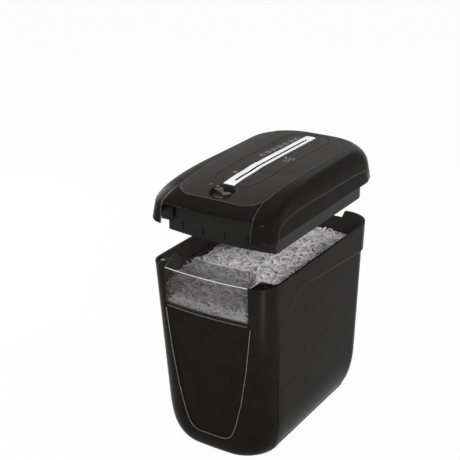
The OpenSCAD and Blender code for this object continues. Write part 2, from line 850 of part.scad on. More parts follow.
module cutter_shaft_a() cutter_shaft(-1);
module cutter_shaft_b() cutter_shaft(1);

module timing_gear_a() {
  y = cut_y0 - plate_t - 1;
  centred() color(steel) translate([0, 0, seat_z]) upright(y - timing_face, y)
    translate([-shaft_x, shaft_z]) difference() {
      gear(timing_m, timing_teeth, 0, 0.9);
      circle(journal_r, $fn = 48);
    }
}

module timing_gear_b() {
  y = cut_y0 - plate_t - 1;
  centred() color(steel) translate([0, 0, seat_z]) upright(y - timing_face, y)
    translate([shaft_x, shaft_z]) difference() {
      gear(timing_m, timing_teeth, mesh_turn(timing_teeth, 0, timing_teeth, 0), 0.9);
      circle(journal_r, $fn = 48);
    }
}

// ---------- head: gear train and motor ----------

a_at = [-shaft_x, shaft_z];
second_turn = mesh_turn(drive_teeth, 0, pinion_teeth, heading(a_at, second_at));
first_turn = mesh_turn(second_teeth, second_turn, pinion_teeth, heading(second_at, first_at));
rotor_turn = mesh_turn(first_teeth, first_turn, rotor_teeth, heading(first_at, motor_at));

module drive_gear() {
  centred() color(steel) translate([0, 0, seat_z]) upright(drive_y, drive_y + drive_face)
    translate(a_at) difference() {
      gear(drive_m, drive_teeth);
      circle(journal_r, $fn = 48);
      for (k = [0 : 4]) rotate(72 * k) translate([15, 0]) circle(3.6, $fn = 32);
    }
}

// wheel and pinion in one piece, running on a fixed pin
module compound(at, m, teeth, y, face, pm, pinion, py, pface, turn) {
  centred() color([0.86, 0.84, 0.78]) translate([0, 0, seat_z]) difference() {
    union() {
      upright(y, y + face) translate(at) gear(m, teeth, turn);
      upright(py, py + pface) translate(at) gear(pm, pinion, turn);
    }
    rod(at, pin_r + run_gap, py - 5, y + face + 5, 32);
  }
}

module second_gear()
  compound(second_at, second_m, second_teeth, second_y, second_face,
    drive_m, pinion_teeth, drive_y, drive_face + over, second_turn);

module first_gear()
  compound(first_at, first_m, first_teeth, first_y, first_face,
    second_m, pinion_teeth, second_y, second_face + over, first_turn);

module gear_pins() {
  centred() color(steel) translate([0, 0, seat_z]) for (c = [second_at, first_at]) {
    rod(c, pin_r, cut_y1 + plate_t, cover_y, 32);
    rod(c, pin_r - 0.5, cut_y1, cover_y + 1.5, 24);
  }
}

module gearbox_cover() {
  posts = [[-44, 30], [-46, -18], [64, 38]];
  centred() color(dark) translate([0, 0, seat_z]) difference() {
    union() {
      upright(cover_y, cover_y + 2) hull() {
        translate([-50, -22]) square([60, 60]);
        translate(motor_at) circle(8, $fn = 32);
        translate(posts[2]) circle(4, $fn = 32);
      }
      for (c = posts) rod(c, 3, cut_y1 + plate_t, cover_y + 1, 24);
    }
    for (c = [second_at, first_at]) rod(c, pin_r - 0.5, cover_y - 1, cover_y + 5, 24);
    rod(motor_at, 3.5, cover_y - 1, cover_y + 5, 32);
  }
}

module motor_can() {
  centred() color([0.45, 0.46, 0.48]) translate([0, 0, seat_z]) difference() {
    rod(motor_at, motor_r, motor_y0 + 6, motor_y1, 72);
    rod(motor_at, motor_r - 2, motor_y0, motor_y1 - 2, 72);
    rod(motor_at, 5, motor_y1 - 12, motor_y1 + 1, 32);
    for (a = [45, 225])
      rod(motor_at + 16 * [cos(a), sin(a)], 1.5, motor_y1 - 12, motor_y1 + 1, 24);
  }
}

module motor_end_bell() {
  centred() color(dark) translate([0, 0, seat_z]) difference() {
    rod(motor_at, motor_r, motor_y0, motor_y0 + 6, 72);
    rod(motor_at, 5, motor_y0 - 1, motor_y0 + 8, 32);
    for (k = [0 : 5]) rotate_about(60 * k)
      translate([motor_at[0] + 15, motor_y0 + 8, motor_at[1]]) rotate([90, 0, 0])
        cylinder(h = 10, r = 4.5, $fn = 32);
  }
}

module rotate_about(a) {
  translate([motor_at[0], 0, motor_at[1]]) rotate([0, a, 0])
    translate([-motor_at[0], 0, -motor_at[1]]) children();
}

module motor_bushes() {
  centred() color([0.72, 0.55, 0.3]) translate([0, 0, seat_z]) difference() {
    union() {
      rod(motor_at, 5, motor_y0, motor_y0 + 6, 32);
      rod(motor_at, 5, motor_y1 - 4, motor_y1 + plate_t, 32);
    }
    rod(motor_at, pin_r + run_gap, motor_y0 - 1, motor_y1 + 5, 32);
  }
}

module motor_rotor() {
  centred() color([0.5, 0.42, 0.36]) translate([0, 0, seat_z]) {
    rod(motor_at, pin_r, motor_y0 - 12, first_y + first_face + 0.5, 32);
    rod(motor_at, 17, motor_y0 + 20, motor_y1 - 16, 48);
    rod(motor_at, 8, motor_y0 + 10, motor_y0 + 21, 32);
    upright(first_y, first_y + first_face) translate(motor_at)
      gear(first_m, rotor_teeth, rotor_turn);
    // cooling fan
    rod(motor_at, 7, motor_y0 - 11, motor_y0 - 2, 32);
    for (k = [0 : 8]) rotate_about(40 * k)
      translate([motor_at[0] + 6, motor_y0 - 10, motor_at[1] - 0.6]) cube([17, 7, 1.2]);
  }
}

module motor_magnets() {
  centred() color([0.2, 0.2, 0.22]) translate([0, 0, seat_z]) intersection() {
    difference() {
      rod(motor_at, motor_r - 2, motor_y0 + 16, motor_y1 - 14, 72);
      rod(motor_at, motor_r - 7, motor_y0 + 10, motor_y1, 72);
    }
    for (s = [-1, 1]) translate([motor_at[0] - 14, motor_y0, motor_at[1] + (s > 0 ? 4 : -34)])
      cube([28, motor_l, 30]);
  }
}

module motor_screws() {
  centred() color(steel) translate([0, 0, seat_z]) for (a = [45, 225])
    let (c = motor_at + 16 * [cos(a), sin(a)]) {
      rod(c, 1.5, motor_y1 - 4, cut_y1 + plate_t, 24);
      rod(c, 2.6, cut_y1 + plate_t, cut_y1 + plate_t + 1.4, 24);
    }
}

// ---------- head: control, flap and interlock ----------

module control_lever() {
  centred() color([0.16, 0.15, 0.15]) translate([control_at[0], control_at[1], seat_z + well_floor])
    rotate([0, 0, control_angle]) {
      translate([0, 0, -9]) cylinder(h = 10, r = spindle_r, $fn = 32);
      translate([0, 0, 0.4]) cylinder(h = 1.6, r = 15, $fn = 64);
      // saddle-shaped grip with a dished top
      difference() {
        translate([0, 0, 1]) linear_extrude(well_depth) difference() {
          square([34, 13], center = true);
          for (s = [-1, 1]) translate([0, s * 27.2]) circle(24, $fn = 96);
        }
        translate([0, 10, well_depth + 16.8]) rotate([90, 0, 0]) cylinder(h = 20, r = 18, $fn = 96);
      }
    }
}

module control_switch() {
  centred() color(dark) translate([control_at[0], control_at[1], seat_z + well_floor - 2])
    difference() {
      translate([-13, -9.5, -16]) cube([26, 20, 16]);
      translate([0, 0, -7 - shell_gap]) cylinder(h = 10, r = spindle_r + run_gap, $fn = 32);
    }
}

flap_at = [14, 33];
module paper_flap() {
  centred() color([0.75, 0.75, 0.74]) translate([0, 0, seat_z]) difference() {
    union() {
      rod(flap_at, 3.4, slot_y - 3, slot_y + 3, 32);
      upright(slot_y - 3, slot_y + 3) polygon([[flap_at[0] - 2.2, flap_at[1] + 1.6],
        [flap_at[0] - 2.2, flap_at[1] - 1.6], [-1.5, flap_at[1] - 4.5],
        [-2.5, flap_at[1] - 2.5], [0, flap_at[1] - 0.5]]);
    }
    rod(flap_at, 1.5 + run_gap, slot_y - 5, slot_y + 5, 24);
  }
}

module flap_bracket() {
  foot = slot_w / 2 + 2;
  low = shaft_z + disc_r + 1;
  rise = head_h + crown - 17 - low;
  centred() color(dark) translate([0, 0, seat_z]) {
    rod(flap_at, 1.5, slot_y - 5, slot_y + 5, 24);
    for (y = [slot_y - 6, slot_y + 4]) upright(y, y + 2)
      polygon([[foot + 2 * 0.3, low + 0.3 * rise], [foot + 2, low + rise],
        [flap_at[0] + 14, low + rise], [flap_at[0] + 14, low + 0.3 * rise]]);
    translate([flap_at[0] + 12, slot_y - 6, low + 0.3 * rise]) cube([2, 12, 0.7 * rise]);
  }
}

module start_switch() {
  centred() color([0.1, 0.1, 0.1]) translate([0, 0, seat_z])
    translate([flap_at[0] + 14, slot_y - 8, rod_top + rod_r + shell_gap]) cube([8, 20, 7]);
}

module interlock_pin() {
  centred() color([0.8, 0.8, 0.78]) translate([interlock_at[0], interlock_at[1], seat_z]) {
    translate([0, 0, -12]) cylinder(h = 14.8, r = 2, $fn = 32);
    translate([0, 0, 2.8]) cylinder(h = 1.5, r = 3.2, $fn = 32);
  }
}

module interlock_switch() {
  centred() color([0.1, 0.1, 0.1]) translate([0, 0, seat_z]) {
    translate([interlock_at[0] - 2.5, interlock_at[1] - 10, 7.8]) cube([6.5, 20, 12]);
    translate([interlock_at[0] + 4, interlock_at[1] - 10, flange_t])
      cube([-casing_half - interlock_at[0] - 4, 20, 17.3]);
  }
}

board_z = -14;
module control_board() {
  centred() color([0.12, 0.3, 0.16]) translate([0, 0, seat_z]) difference() {
    translate([-casing_half + 8, -60, board_z]) cube([36, 110, 1.6]);
    for (x = [4, 32], y = [5, 105]) translate([-casing_half + 8 + x, -60 + y, board_z - 1])
      cylinder(h = 4, r = 1.5, $fn = 24);
  }
}

module board_posts() {
  centred() color(dark) translate([0, 0, seat_z])
    for (x = [4, 32], y = [5, 105]) translate([-casing_half + 8 + x, -60 + y, floor_z]) {
      cylinder(h = board_z - floor_z, r = 3, $fn = 24);
      cylinder(h = board_z - floor_z + 2.6, r = 1.5, $fn = 24);
    }
}

module run_capacitor() {
  centred() color([0.75, 0.6, 0.2]) translate([-casing_half + 16, -30, seat_z + board_z + 1.6])
    cube([18, 30, 20]);
}

module power_relay() {
  centred() color([0.15, 0.25, 0.5]) translate([-casing_half + 14, 14, seat_z + board_z + 1.6])
    cube([16, 20, 15]);
}

module terminal_block() {
  centred() color([0.2, 0.5, 0.3]) translate([0, 0, seat_z]) difference() {
    translate([-casing_half + 34, -50, board_z + 1.6]) cube([8, 30, 10]);
    for (i = [0 : 3]) translate([-casing_half + 38, -46 + 7.3 * i, board_z + 8])
      cylinder(h = 6, r = 2, $fn = 24);
  }
}

module thermal_cutout() {
  centred() color([0.12, 0.12, 0.12]) translate([0, 0, seat_z])
    translate([motor_at[0] - 5, motor_y0 + 20, motor_at[1] + motor_r]) cube([10, 16, 4]);
}

module cord_gland() {
  wall = shell_t - head_panel_depth;
  centred() color([0.05, 0.05, 0.05]) translate([0, 0, seat_z]) gland_frame() difference() {
    union() {
      lying(5, -wall - 2, gland_out / 2);
      lying(6.5, -wall - 3 - shell_gap, -wall - shell_gap);
      lying(6.5, 0, gland_out);
    }
    lying(3.5, -20, 20);
  }
}

bin_body();
bin_window();
ear_screws();
shredded_paper();
head_shell();
deck_panel();
slot_trim();
throat_guides();
lower_casing();
casing_screws();
front_plate();
rear_plate();
tie_rods();
shaft_bushes();
stripper_left();
stripper_right();
cutter_shaft_a();
cutter_shaft_b();
timing_gear_a();
timing_gear_b();
drive_gear();
second_gear();
first_gear();
gear_pins();
gearbox_cover();
motor_can();
motor_end_bell();
motor_bushes();
motor_rotor();
motor_magnets();
motor_screws();
control_lever();
control_switch();
paper_flap();
flap_bracket();
start_switch();
interlock_pin();
interlock_switch();
control_board();
board_posts();
run_capacitor();
power_relay();
terminal_block();
thermal_cutout();
cord_gland();
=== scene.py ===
import math
import bpy
import bmesh
import numpy as np
from mathutils import Matrix, Vector


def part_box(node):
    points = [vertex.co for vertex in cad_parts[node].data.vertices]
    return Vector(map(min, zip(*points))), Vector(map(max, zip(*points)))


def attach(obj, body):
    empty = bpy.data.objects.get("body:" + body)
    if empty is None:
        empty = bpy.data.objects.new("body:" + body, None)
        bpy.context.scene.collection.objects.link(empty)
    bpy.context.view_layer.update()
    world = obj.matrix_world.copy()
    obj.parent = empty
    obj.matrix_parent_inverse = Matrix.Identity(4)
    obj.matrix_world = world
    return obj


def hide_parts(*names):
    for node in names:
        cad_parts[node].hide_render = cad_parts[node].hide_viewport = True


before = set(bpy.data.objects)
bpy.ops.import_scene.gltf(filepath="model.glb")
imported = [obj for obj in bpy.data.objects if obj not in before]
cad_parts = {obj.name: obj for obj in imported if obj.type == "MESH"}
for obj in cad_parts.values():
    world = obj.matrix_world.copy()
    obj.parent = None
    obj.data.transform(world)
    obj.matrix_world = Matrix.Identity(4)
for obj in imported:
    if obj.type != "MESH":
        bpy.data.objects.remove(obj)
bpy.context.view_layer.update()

MM = 0.001


def mm_box(node):
    lo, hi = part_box(node)
    return np.array(lo[:]) * 1000.0, np.array(hi[:]) * 1000.0


# -------------------- sizes (mm)
BIN_HI = mm_box("bin_body")[1]
HEAD_LO, HEAD_HI = mm_box("head_shell")
WIN_LO, WIN_HI = mm_box("bin_window")
TRIM_LO, TRIM_HI = mm_box("slot_trim")
PIN_LO, PIN_HI = mm_box("interlock_pin")
LEVER_LOW = mm_box("control_lever")[0][2]
TOP = mm_box("shredded_paper")[1][2]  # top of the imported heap
SIDES = ((1, "right"), (-1, "left"))

RIM = BIN_HI[2]  # height of the rim
BIN_LEN = 372.0  # rim length without the bow
MID = BIN_HI[1] - BIN_LEN / 2  # shift of the whole along Y
HALF_L = BIN_LEN / 2
SIDE_TAPER, FRONT_RAKE, BACK_TAPER = 0.029, 0.037, 0.015
SIDE_FOOT, FRONT_FOOT, BACK_FOOT = (23.0, 74.0), (14.0, 42.0), (15.0, 75.0)  # run and rise
RF_RIM, RF_GROW, RB_RIM = 35.0, 0.065, 47.0
BOW = 600.0
WALL = 3.0
WIN_HALF = WIN_HI[0]
WIN_LOW = WIN_LO[2]
LEDGE_RISE = WIN_HI[2] - RIM
SEAT = HEAD_LO[2]  # lower edge of the head
HEAD_HALF = HEAD_HI[0]
HEAD_Y0 = -HALF_L - 1.0
HEAD_Y1 = HEAD_HI[1] - MID
# over the seat: top of the straight sides and of the shoulders, and the crown's rise
SIDE_H, HEAD_TOP, CROWN = 26.0, 60.0, 2.0
SHOULDER, BROW, TAIL = 20.0, 130.0, 10.0
CHEEK_R, CHEEK_GROW, HEAD_BACK_R, HEAD_BACK_GROW = 36.0, 45.0, 52.0, 23.0
HEAD_LEAN = 0.15
GRIP_HALF, GRIP_H = 80.0, 33.0
REAR_GRIP_HALF, REAR_GRIP_H = 46.0, 28.0
SHELL_T = 3.2
DECK_HALF = 78.5
DECK_Y0, DECK_Y1 = -158.5, 189.0
DECK_R = 34.0
SLOT_Y = (TRIM_LO[1] + TRIM_HI[1]) / 2 - MID
TRIM_L = TRIM_HI[1] - TRIM_LO[1]
TRIM_X0, TRIM_X1 = -12.4, 8.6
WELL_X, WELL_Y = 1.0, -HALF_L + 52.0
WELL_R = 22.0
rng = np.random.default_rng(7)


# -------------------- helpers
def smooth(a, b, x):
    t = np.clip((x - a) / (b - a), 0.0, 1.0)
    return t * t * (3 - 2 * t)


def sdf_poly(px, py, poly):
    """Signed distance to a closed polygon, negative inside."""
    poly = np.asarray(poly, float)
    d = np.full(px.shape, 1e18)
    inside = np.zeros(px.shape, bool)
    n = len(poly)
    for i in range(n):
        ax, ay = poly[i]
        bx, by = poly[(i + 1) % n]
        ex, ey = bx - ax, by - ay
        wx, wy = px - ax, py - ay
        t = np.clip((wx * ex + wy * ey) / (ex * ex + ey * ey + 1e-12), 0, 1)
        d = np.minimum(d, (wx - ex * t) ** 2 + (wy - ey * t) ** 2)
        c = (ay > py) != (by > py)
        with np.errstate(divide="ignore", invalid="ignore"):
            xi = ax + (py - ay) * ex / (ey if abs(ey) > 1e-12 else 1e-12)
        inside ^= c & (px < xi)
    return np.where(inside, -np.sqrt(d), np.sqrt(d))


def rect(x0, x1, y0, y1):
    return [(x0, y0), (x1, y0), (x1, y1), (x0, y1)]


def rounded_poly(pts, radii, n):
    """Polygon with rounded corners."""
    out = []
    m = len(pts)
    for i in range(m):
        p = np.array(pts[i], float)
        a = np.array(pts[i - 1], float) - p
        b = np.array(pts[(i + 1) % m], float) - p
        la, lb = np.linalg.norm(a), np.linalg.norm(b)
        a, b = a / la, b / lb
        ang = math.acos(max(-1, min(1, float(a @ b))))
        r = radii[i]
        if r <= 0:
            out.append(tuple(p))
            continue
        d = min(r / math.tan(ang / 2), la * 0.49, lb * 0.49)
        r = d * math.tan(ang / 2)
        c = p + (a + b) / np.linalg.norm(a + b) * (r / math.sin(ang / 2))
        s, e = p + a * d - c, p + b * d - c
        t0 = math.atan2(s[1], s[0])
        t1 = math.atan2(e[1], e[0])
        dt = (t1 - t0 + math.pi) % (2 * math.pi) - math.pi
        for k in range(n + 1):
            t = t0 + dt * k / n
            out.append((c[0] + r * math.cos(t), c[1] + r * math.sin(t)))
    return out


def linked(name, data):
    """New object in the scene."""
    ob = bpy.data.objects.new(name, data)
    bpy.context.scene.collection.objects.link(ob)
    return ob


def new_mesh(name, verts, faces, smooth_angle=35.0):
    """Object from points in mm, with doubles merged."""
    me = bpy.data.meshes.new(name)
    me.from_pydata([tuple(v) for v in np.asarray(verts) * MM], [], [tuple(f) for f in faces])
    bm = bmesh.new()
    bm.from_mesh(me)
    bmesh.ops.remove_doubles(bm, verts=bm.verts, dist=2e-5)
    bmesh.ops.recalc_face_normals(bm, faces=bm.faces)
    bm.to_mesh(me)
    bm.free()
    me.update()
    ob = linked(name, me)
    shade(ob, smooth_angle)
    return ob


def shade(ob, angle=35.0):
    me = ob.data
    me.polygons.foreach_set("use_smooth", [True] * len(me.polygons))
    me.set_sharp_from_angle(angle=math.radians(angle))


def apply_mods(ob):
    dg = bpy.context.evaluated_depsgraph_get()
    me = bpy.data.meshes.new_from_object(ob.evaluated_get(dg))
    ob.modifiers.clear()
    old = ob.data
    ob.data = me
    bpy.data.meshes.remove(old)
    shade(ob)


def bevel(ob, width, angle=35.0):
    """Rounds the sharp edges and applies all modifiers."""
    b = ob.modifiers.new("edge", "BEVEL")
    b.width = width * MM
    b.segments = 2
    b.limit_method = "ANGLE"
    b.angle_limit = math.radians(angle)
    apply_mods(ob)


def thicken(ob, t, edge=0.0):
    """Gives a sheet its thickness on the inside, and rounded edges."""
    m = ob.modifiers.new("thick", "SOLIDIFY")
    m.thickness = t * MM
    m.offset = -1.0
    m.use_even_offset = False
    if edge > 0:
        bevel(ob, edge, 50)
    else:
        apply_mods(ob)


def face_up(ob):
    me = ob.data
    if sum(p.normal.z * p.area for p in me.polygons) < 0:
        me.flip_normals()


def grid_faces(rows, cols, closed=False):
    f = []
    for r in range(rows - 1):
        for c in range(cols if closed else cols - 1):
            a, b = r * cols + c, r * cols + (c + 1) % cols
            f.append((a, b, b + cols, a + cols))
    return f


def outward(ob, centre):
    """Turns the faces so that they look away from a centre point (mm)."""
    me = ob.data
    c = Vector(tuple(np.array(centre) * MM))
    s = 0.0
    for p in me.polygons:
        d = p.center - c
        d.z *= 0.2
        s += p.normal.dot(d) * p.area
    if s < 0:
        me.flip_normals()


# -------------------- materials
def new_node(nt, kind, **values):
    """Node with constant values on its sockets."""
    n = nt.nodes.new("ShaderNode" + kind)
    for key, value in values.items():
        n.inputs[key].default_value = value
    return n


def material(name):
    """New material, its tree, its shader and the object's coordinates."""
    m = bpy.data.materials.new(name)
    m.use_nodes = True
    nt = m.node_tree
    bsdf = next(n for n in nt.nodes if n.type == "BSDF_PRINCIPLED")
    return m, nt, bsdf, new_node(nt, "TexCoord").outputs["Object"]


def noise(nt, coord, scale, detail):
    n = new_node(nt, "TexNoise", Scale=scale, Detail=detail, Roughness=0.6)
    nt.links.new(coord, n.inputs["Vector"])
    return n.outputs["Fac"]


def ramp(nt, fac, stops):
    stops = list(stops)
    r = new_node(nt, "ValToRGB")
    el = r.color_ramp.elements
    while len(el) < len(stops):
        el.new(0.5)
    for e, (p, c) in zip(el, stops):
        e.position = p
        e.color = (*c, 1.0)
    nt.links.new(fac, r.inputs["Fac"])
    return r.outputs["Color"]


def vary(nt, b, fac, colours, c_at, rough, r_at):
    """Colour and roughness that follow one noise."""
    nt.links.new(ramp(nt, fac, zip(c_at, colours)), b.inputs["Base Color"])
    nt.links.new(ramp(nt, fac, [(p, (v,) * 3) for p, v in zip(r_at, rough)]), b.inputs["Roughness"])


def relief(nt, b, height, strength):
    bp = new_node(nt, "Bump", Strength=strength, Distance=0.0002)
    nt.links.new(height, bp.inputs["Height"])
    nt.links.new(bp.outputs["Normal"], b.inputs["Normal"])


def plastic(name, c0, c1, rough, grain, bump, spec):
    m, nt, b, co = material(name)
    vary(nt, b, noise(nt, co, 28, 5), (c0, c1), (0.3, 0.72), rough, (0.25, 0.75))
    relief(nt, b, noise(nt, co, grain, 3), bump)
    b.inputs["Specular IOR Level"].default_value = spec
    return m


def metal(name, c0, c1, rough=(0.22, 0.36), stretch=(1.0, 60.0, 60.0), scale=40.0):
    m, nt, b, co = material(name)
    mp = new_node(nt, "Mapping", Scale=stretch)
    nt.links.new(co, mp.inputs["Vector"])
    n = noise(nt, mp.outputs["Vector"], scale, 4)
    vary(nt, b, n, (c0, c1), (0.3, 0.7), rough, (0.3, 0.7))
    b.inputs["Metallic"].default_value = 1.0
    relief(nt, b, n, 0.04)
    return m


M_BIN = plastic("bin_gloss", (0.0078, 0.0066, 0.0062), (0.0106, 0.0092, 0.0086),
                (0.24, 0.32), 1400, 0.03, 0.022)
# inner faces: matte plastic in a lighter colour than the outside, the lighter colour is painted light
M_BIN_IN_PAINTED_LIGHT = plastic("bin_inner_matte_painted_light", (0.026, 0.0235, 0.0225), (0.036, 0.0325, 0.031),
                   (0.55, 0.65), 1800, 0.12, 0.2)
M_HEAD = plastic("head_gloss", (0.0056, 0.0047, 0.0044), (0.0080, 0.0068, 0.0064),
                 (0.20, 0.27), 1400, 0.03, 0.030)
M_DECK = plastic("deck_matte", (0.013, 0.0112, 0.0106), (0.018, 0.0158, 0.0150),
                 (0.48, 0.58), 2200, 0.22, 0.10)
M_CASE = plastic("casing_matte", (0.0048, 0.0042, 0.0040), (0.0072, 0.0064, 0.0060),
                 (0.36, 0.46), 1800, 0.12, 0.14)
M_LEVER = plastic("lever_soft", (0.014, 0.0125, 0.012), (0.020, 0.018, 0.0172), (0.34, 0.42), 1800, 0.1, 0.4)
M_MARK = plastic("mark_print", (0.34, 0.33, 0.32), (0.42, 0.41, 0.40), (0.5, 0.6), 1500, 0.05, 0.3)
M_STEEL = metal("steel_plated", (0.50, 0.51, 0.53), (0.62, 0.63, 0.65))
M_SCREW = metal("screw_zinc", (0.20, 0.19, 0.185), (0.27, 0.26, 0.25))
M_HARD = metal("steel_cutter", (0.30, 0.31, 0.33), (0.44, 0.45, 0.47), (0.28, 0.42))
M_TRIM = metal("trim_silver", (0.80, 0.80, 0.81), (0.90, 0.90, 0.91), (0.26, 0.36), (8.0, 1.0, 8.0), 160.0)
M_BRONZE = metal("bronze", (0.50, 0.32, 0.13), (0.62, 0.42, 0.20), (0.35, 0.5), (1, 1, 1), 300)
M_MOTOR = metal("motor_zinc", (0.40, 0.41, 0.43), (0.52, 0.53, 0.55), (0.35, 0.5), (1, 20, 1), 60)
M_NYLON = plastic("nylon", (0.66, 0.62, 0.52), (0.76, 0.72, 0.62), (0.4, 0.5), 900, 0.06, 0.4)
M_BOARD = plastic("board", (0.02, 0.11, 0.05), (0.03, 0.16, 0.07), (0.3, 0.4), 700, 0.1, 0.4)
M_RELAY = plastic("relay", (0.03, 0.07, 0.24), (0.05, 0.11, 0.32), (0.3, 0.4), 700, 0.04, 0.4)
M_CAP = plastic("capacitor", (0.45, 0.30, 0.05), (0.58, 0.40, 0.09), (0.35, 0.5), 500, 0.1, 0.4)
M_TERM = plastic("terminal", (0.03, 0.20, 0.08), (0.05, 0.28, 0.11), (0.35, 0.5), 600, 0.05, 0.4)
M_SWITCH = plastic("switch", (0.010, 0.010, 0.010), (0.018, 0.018, 0.018), (0.35, 0.5), 900, 0.08, 0.35)
M_MAGNET = plastic("magnet", (0.035, 0.035, 0.038), (0.06, 0.06, 0.065), (0.5, 0.65), 600, 0.2, 0.3)
M_COPPER = metal("copper", (0.42, 0.18, 0.07), (0.60, 0.30, 0.14), (0.3, 0.45), (1, 30, 1), 200)
M_RUBBER = plastic("rubber", (0.008, 0.008, 0.008), (0.014, 0.014, 0.014), (0.55, 0.7), 900, 0.15, 0.25)

CAD_LOOK = {
    M_SCREW: "ear_screws",
    M_CASE: "lower_casing throat_guides stripper_left stripper_right gearbox_cover motor_end_bell "
            "flap_bracket board_posts",
    M_STEEL: "casing_screws front_plate rear_plate tie_rods timing_gear_a timing_gear_b drive_gear "
             "gear_pins motor_screws",
    M_BRONZE: "shaft_bushes motor_bushes",
    M_HARD: "cutter_shaft_a cutter_shaft_b",
    M_NYLON: "second_gear first_gear paper_flap interlock_pin",
    M_MOTOR: "motor_can",
    M_COPPER: "motor_rotor",
    M_MAGNET: "motor_magnets",
    M_LEVER: "control_lever",
    M_SWITCH: "control_switch start_switch interlock_switch thermal_cutout",
    M_BOARD: "control_board",
    M_CAP: "run_capacitor",
    M_RELAY: "power_relay",
    M_TERM: "terminal_block",
    M_RUBBER: "cord_gland",
    M_TRIM: "slot_trim",
}
for mat, nodes in CAD_LOOK.items():
    for node in nodes.split():
        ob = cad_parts[node]
        for sl in ob.material_slots:
            sl.material = mat
        if not ob.material_slots:
            ob.data.materials.append(mat)


def dress(ob, mat):
    ob.data.materials.clear()
    ob.data.materials.append(mat)


# -------------------- bin
def foot(z, run, rise):
    return 0.0 if z >= rise else run * (1 - math.sqrt(1 - (1 - z / rise) ** 2))


def bin_size(z):
    down = RIM - z
    return (BIN_HI[0] - SIDE_TAPER * down - foot(z, *SIDE_FOOT),
            -HALF_L + FRONT_RAKE * down + foot(z, *FRONT_FOOT),
            HALF_L - BACK_TAPER * down - foot(z, *BACK_FOOT), RF_RIM + RF_GROW * down, RB_RIM)


def front_y(x, half, y0, rf):
    """Y of the front wall at x, on the bow or on the corner's arc."""
    flat = half - rf
    ax = np.abs(x)
    bow = y0 - (np.sqrt(BOW ** 2 - np.minimum(ax, flat) ** 2) - math.sqrt(BOW ** 2 - flat ** 2))
    arc = y0 + rf - np.sqrt(np.maximum(rf ** 2 - np.maximum(ax - flat, 0) ** 2, 0))
    return np.where(ax <= flat, bow, arc)


def front_at(x, size):
    """Y of the front wall at one x."""
    return float(front_y(x, size[0], size[1], size[3]))


N_FLAT, N_ARC, N_SIDE, N_BACK_ARC = 80, 160, 60, 120
FRONT_END = N_FLAT + N_ARC - 1
SIDE_END = FRONT_END + N_SIDE - 1


def outline(size):
    """Right half of a plan, from the front's middle round to the back's middle, and its arc length."""
    half, y0, y1, rf, rb = size
    flat = half - rf
    x = np.linspace(0, flat, N_FLAT)
    pts = [np.stack([x, front_y(x, half, y0, rf)], 1)]
    a = np.radians(np.linspace(-90, 0, N_ARC))[1:]
    pts.append(np.stack([flat + rf * np.cos(a), y0 + rf + rf * np.sin(a)], 1))
    pts.append(np.array([[half, y] for y in np.linspace(y0 + rf, y1 - rb, N_SIDE)[1:]]))
    a = np.radians(np.linspace(0, 90, N_BACK_ARC))[1:]
    pts.append(np.stack([half - rb + rb * np.cos(a), y1 - rb + rb * np.sin(a)], 1))
    pts.append(np.array([[x, y1] for x in np.linspace(half - rb, 0, 60)[1:]]))
    p = np.concatenate(pts, 0)
    s = np.concatenate([[0], np.cumsum(np.linalg.norm(np.diff(p, axis=0), axis=1))])
    return p, s


def stop_at(p, s, kind, v):
    """Arc length at a mark: "x" is an X on the front, "y" a Y on the side, "b" an X on the back."""
    if kind == "x":
        return float(np.interp(v, p[:FRONT_END, 0], s[:FRONT_END]))
    if kind == "y":
        return float(np.interp(v, p[N_FLAT:SIDE_END, 1], s[N_FLAT:SIDE_END]))
    return float(np.interp(-v, -p[SIDE_END:, 0], s[SIDE_END:]))


def walk(p, s, stops, counts):
    """Closed level ring along an outline and its mirror image, with a count of steps between stops."""
    stops = [0.0] + stops + [float(s[-1])]
    at = [np.array([0.0])]
    for a, b, n in zip(stops[:-1], stops[1:], counts):
        at.append(np.linspace(a, b, n + 1)[1:])
    at = np.concatenate(at)
    x, y = np.interp(at, s, p[:, 0]), np.interp(at, s, p[:, 1])
    return np.concatenate([np.stack([x, y], 1), np.stack([-x[-2:0:-1], y[-2:0:-1]], 1)], 0)


def ring(size, marks, counts):
    p, s = outline(size)
    return walk(p, s, [stop_at(p, s, *m) for m in marks], counts)


# recess of the front, in the shape of a U: height and half width
U_EDGE = [(RIM - 67, 79.6), (RIM - 73, 79.8), (RIM - 150, 71.0), (RIM - 211, 61.0), (RIM - 256, 50.0),
          (RIM - 291, 38.0)]
GROOVE_RUN = 19.0
PANEL_Y, PANEL_SWEEP, PANEL_DROP, PANEL_FALL, PANEL_R = -HALF_L + 82, 6.0, 35.0, 0.085, 45.0


def u_edge(z):
    """Half width of the recess at a height, up to the edge of the window."""
    zs, xs = zip(*(U_EDGE[:0:-1] + [(WIN_LOW - 1.0, WIN_HALF + 0.3)]))
    return float(np.interp(z, zs, xs))


def groove_y(z):
    return -HALF_L + RF_RIM + GROOVE_RUN * (RIM - z) / RIM + 0.8


def levels(a, b, step, dense):
    """Heights from a to b, closer together round the given places."""
    out, z = [], a
    while z < b - 0.3 * step:
        out.append(z)
        near = min([1.0] + [0.36 for c, w in dense if abs(z - c) < w])
        z += step * near
    return out + [b]


def panel_edge():
    slant = math.sqrt(1 + PANEL_FALL ** 2)
    steep = math.atan2(1, PANEL_FALL)
    cy, cz = PANEL_Y + PANEL_R, RIM - PANEL_DROP - PANEL_R * slant
    pts = [(PANEL_Y - PANEL_SWEEP, -60), (400, -60), (400, cz + PANEL_R * slant - PANEL_FALL * (400 - cy))]
    for i in range(25):
        a = steep + (math.pi - steep) * i / 24
        pts.append((cy + PANEL_R * math.cos(a), cz + PANEL_R * math.sin(a)))
    return pts


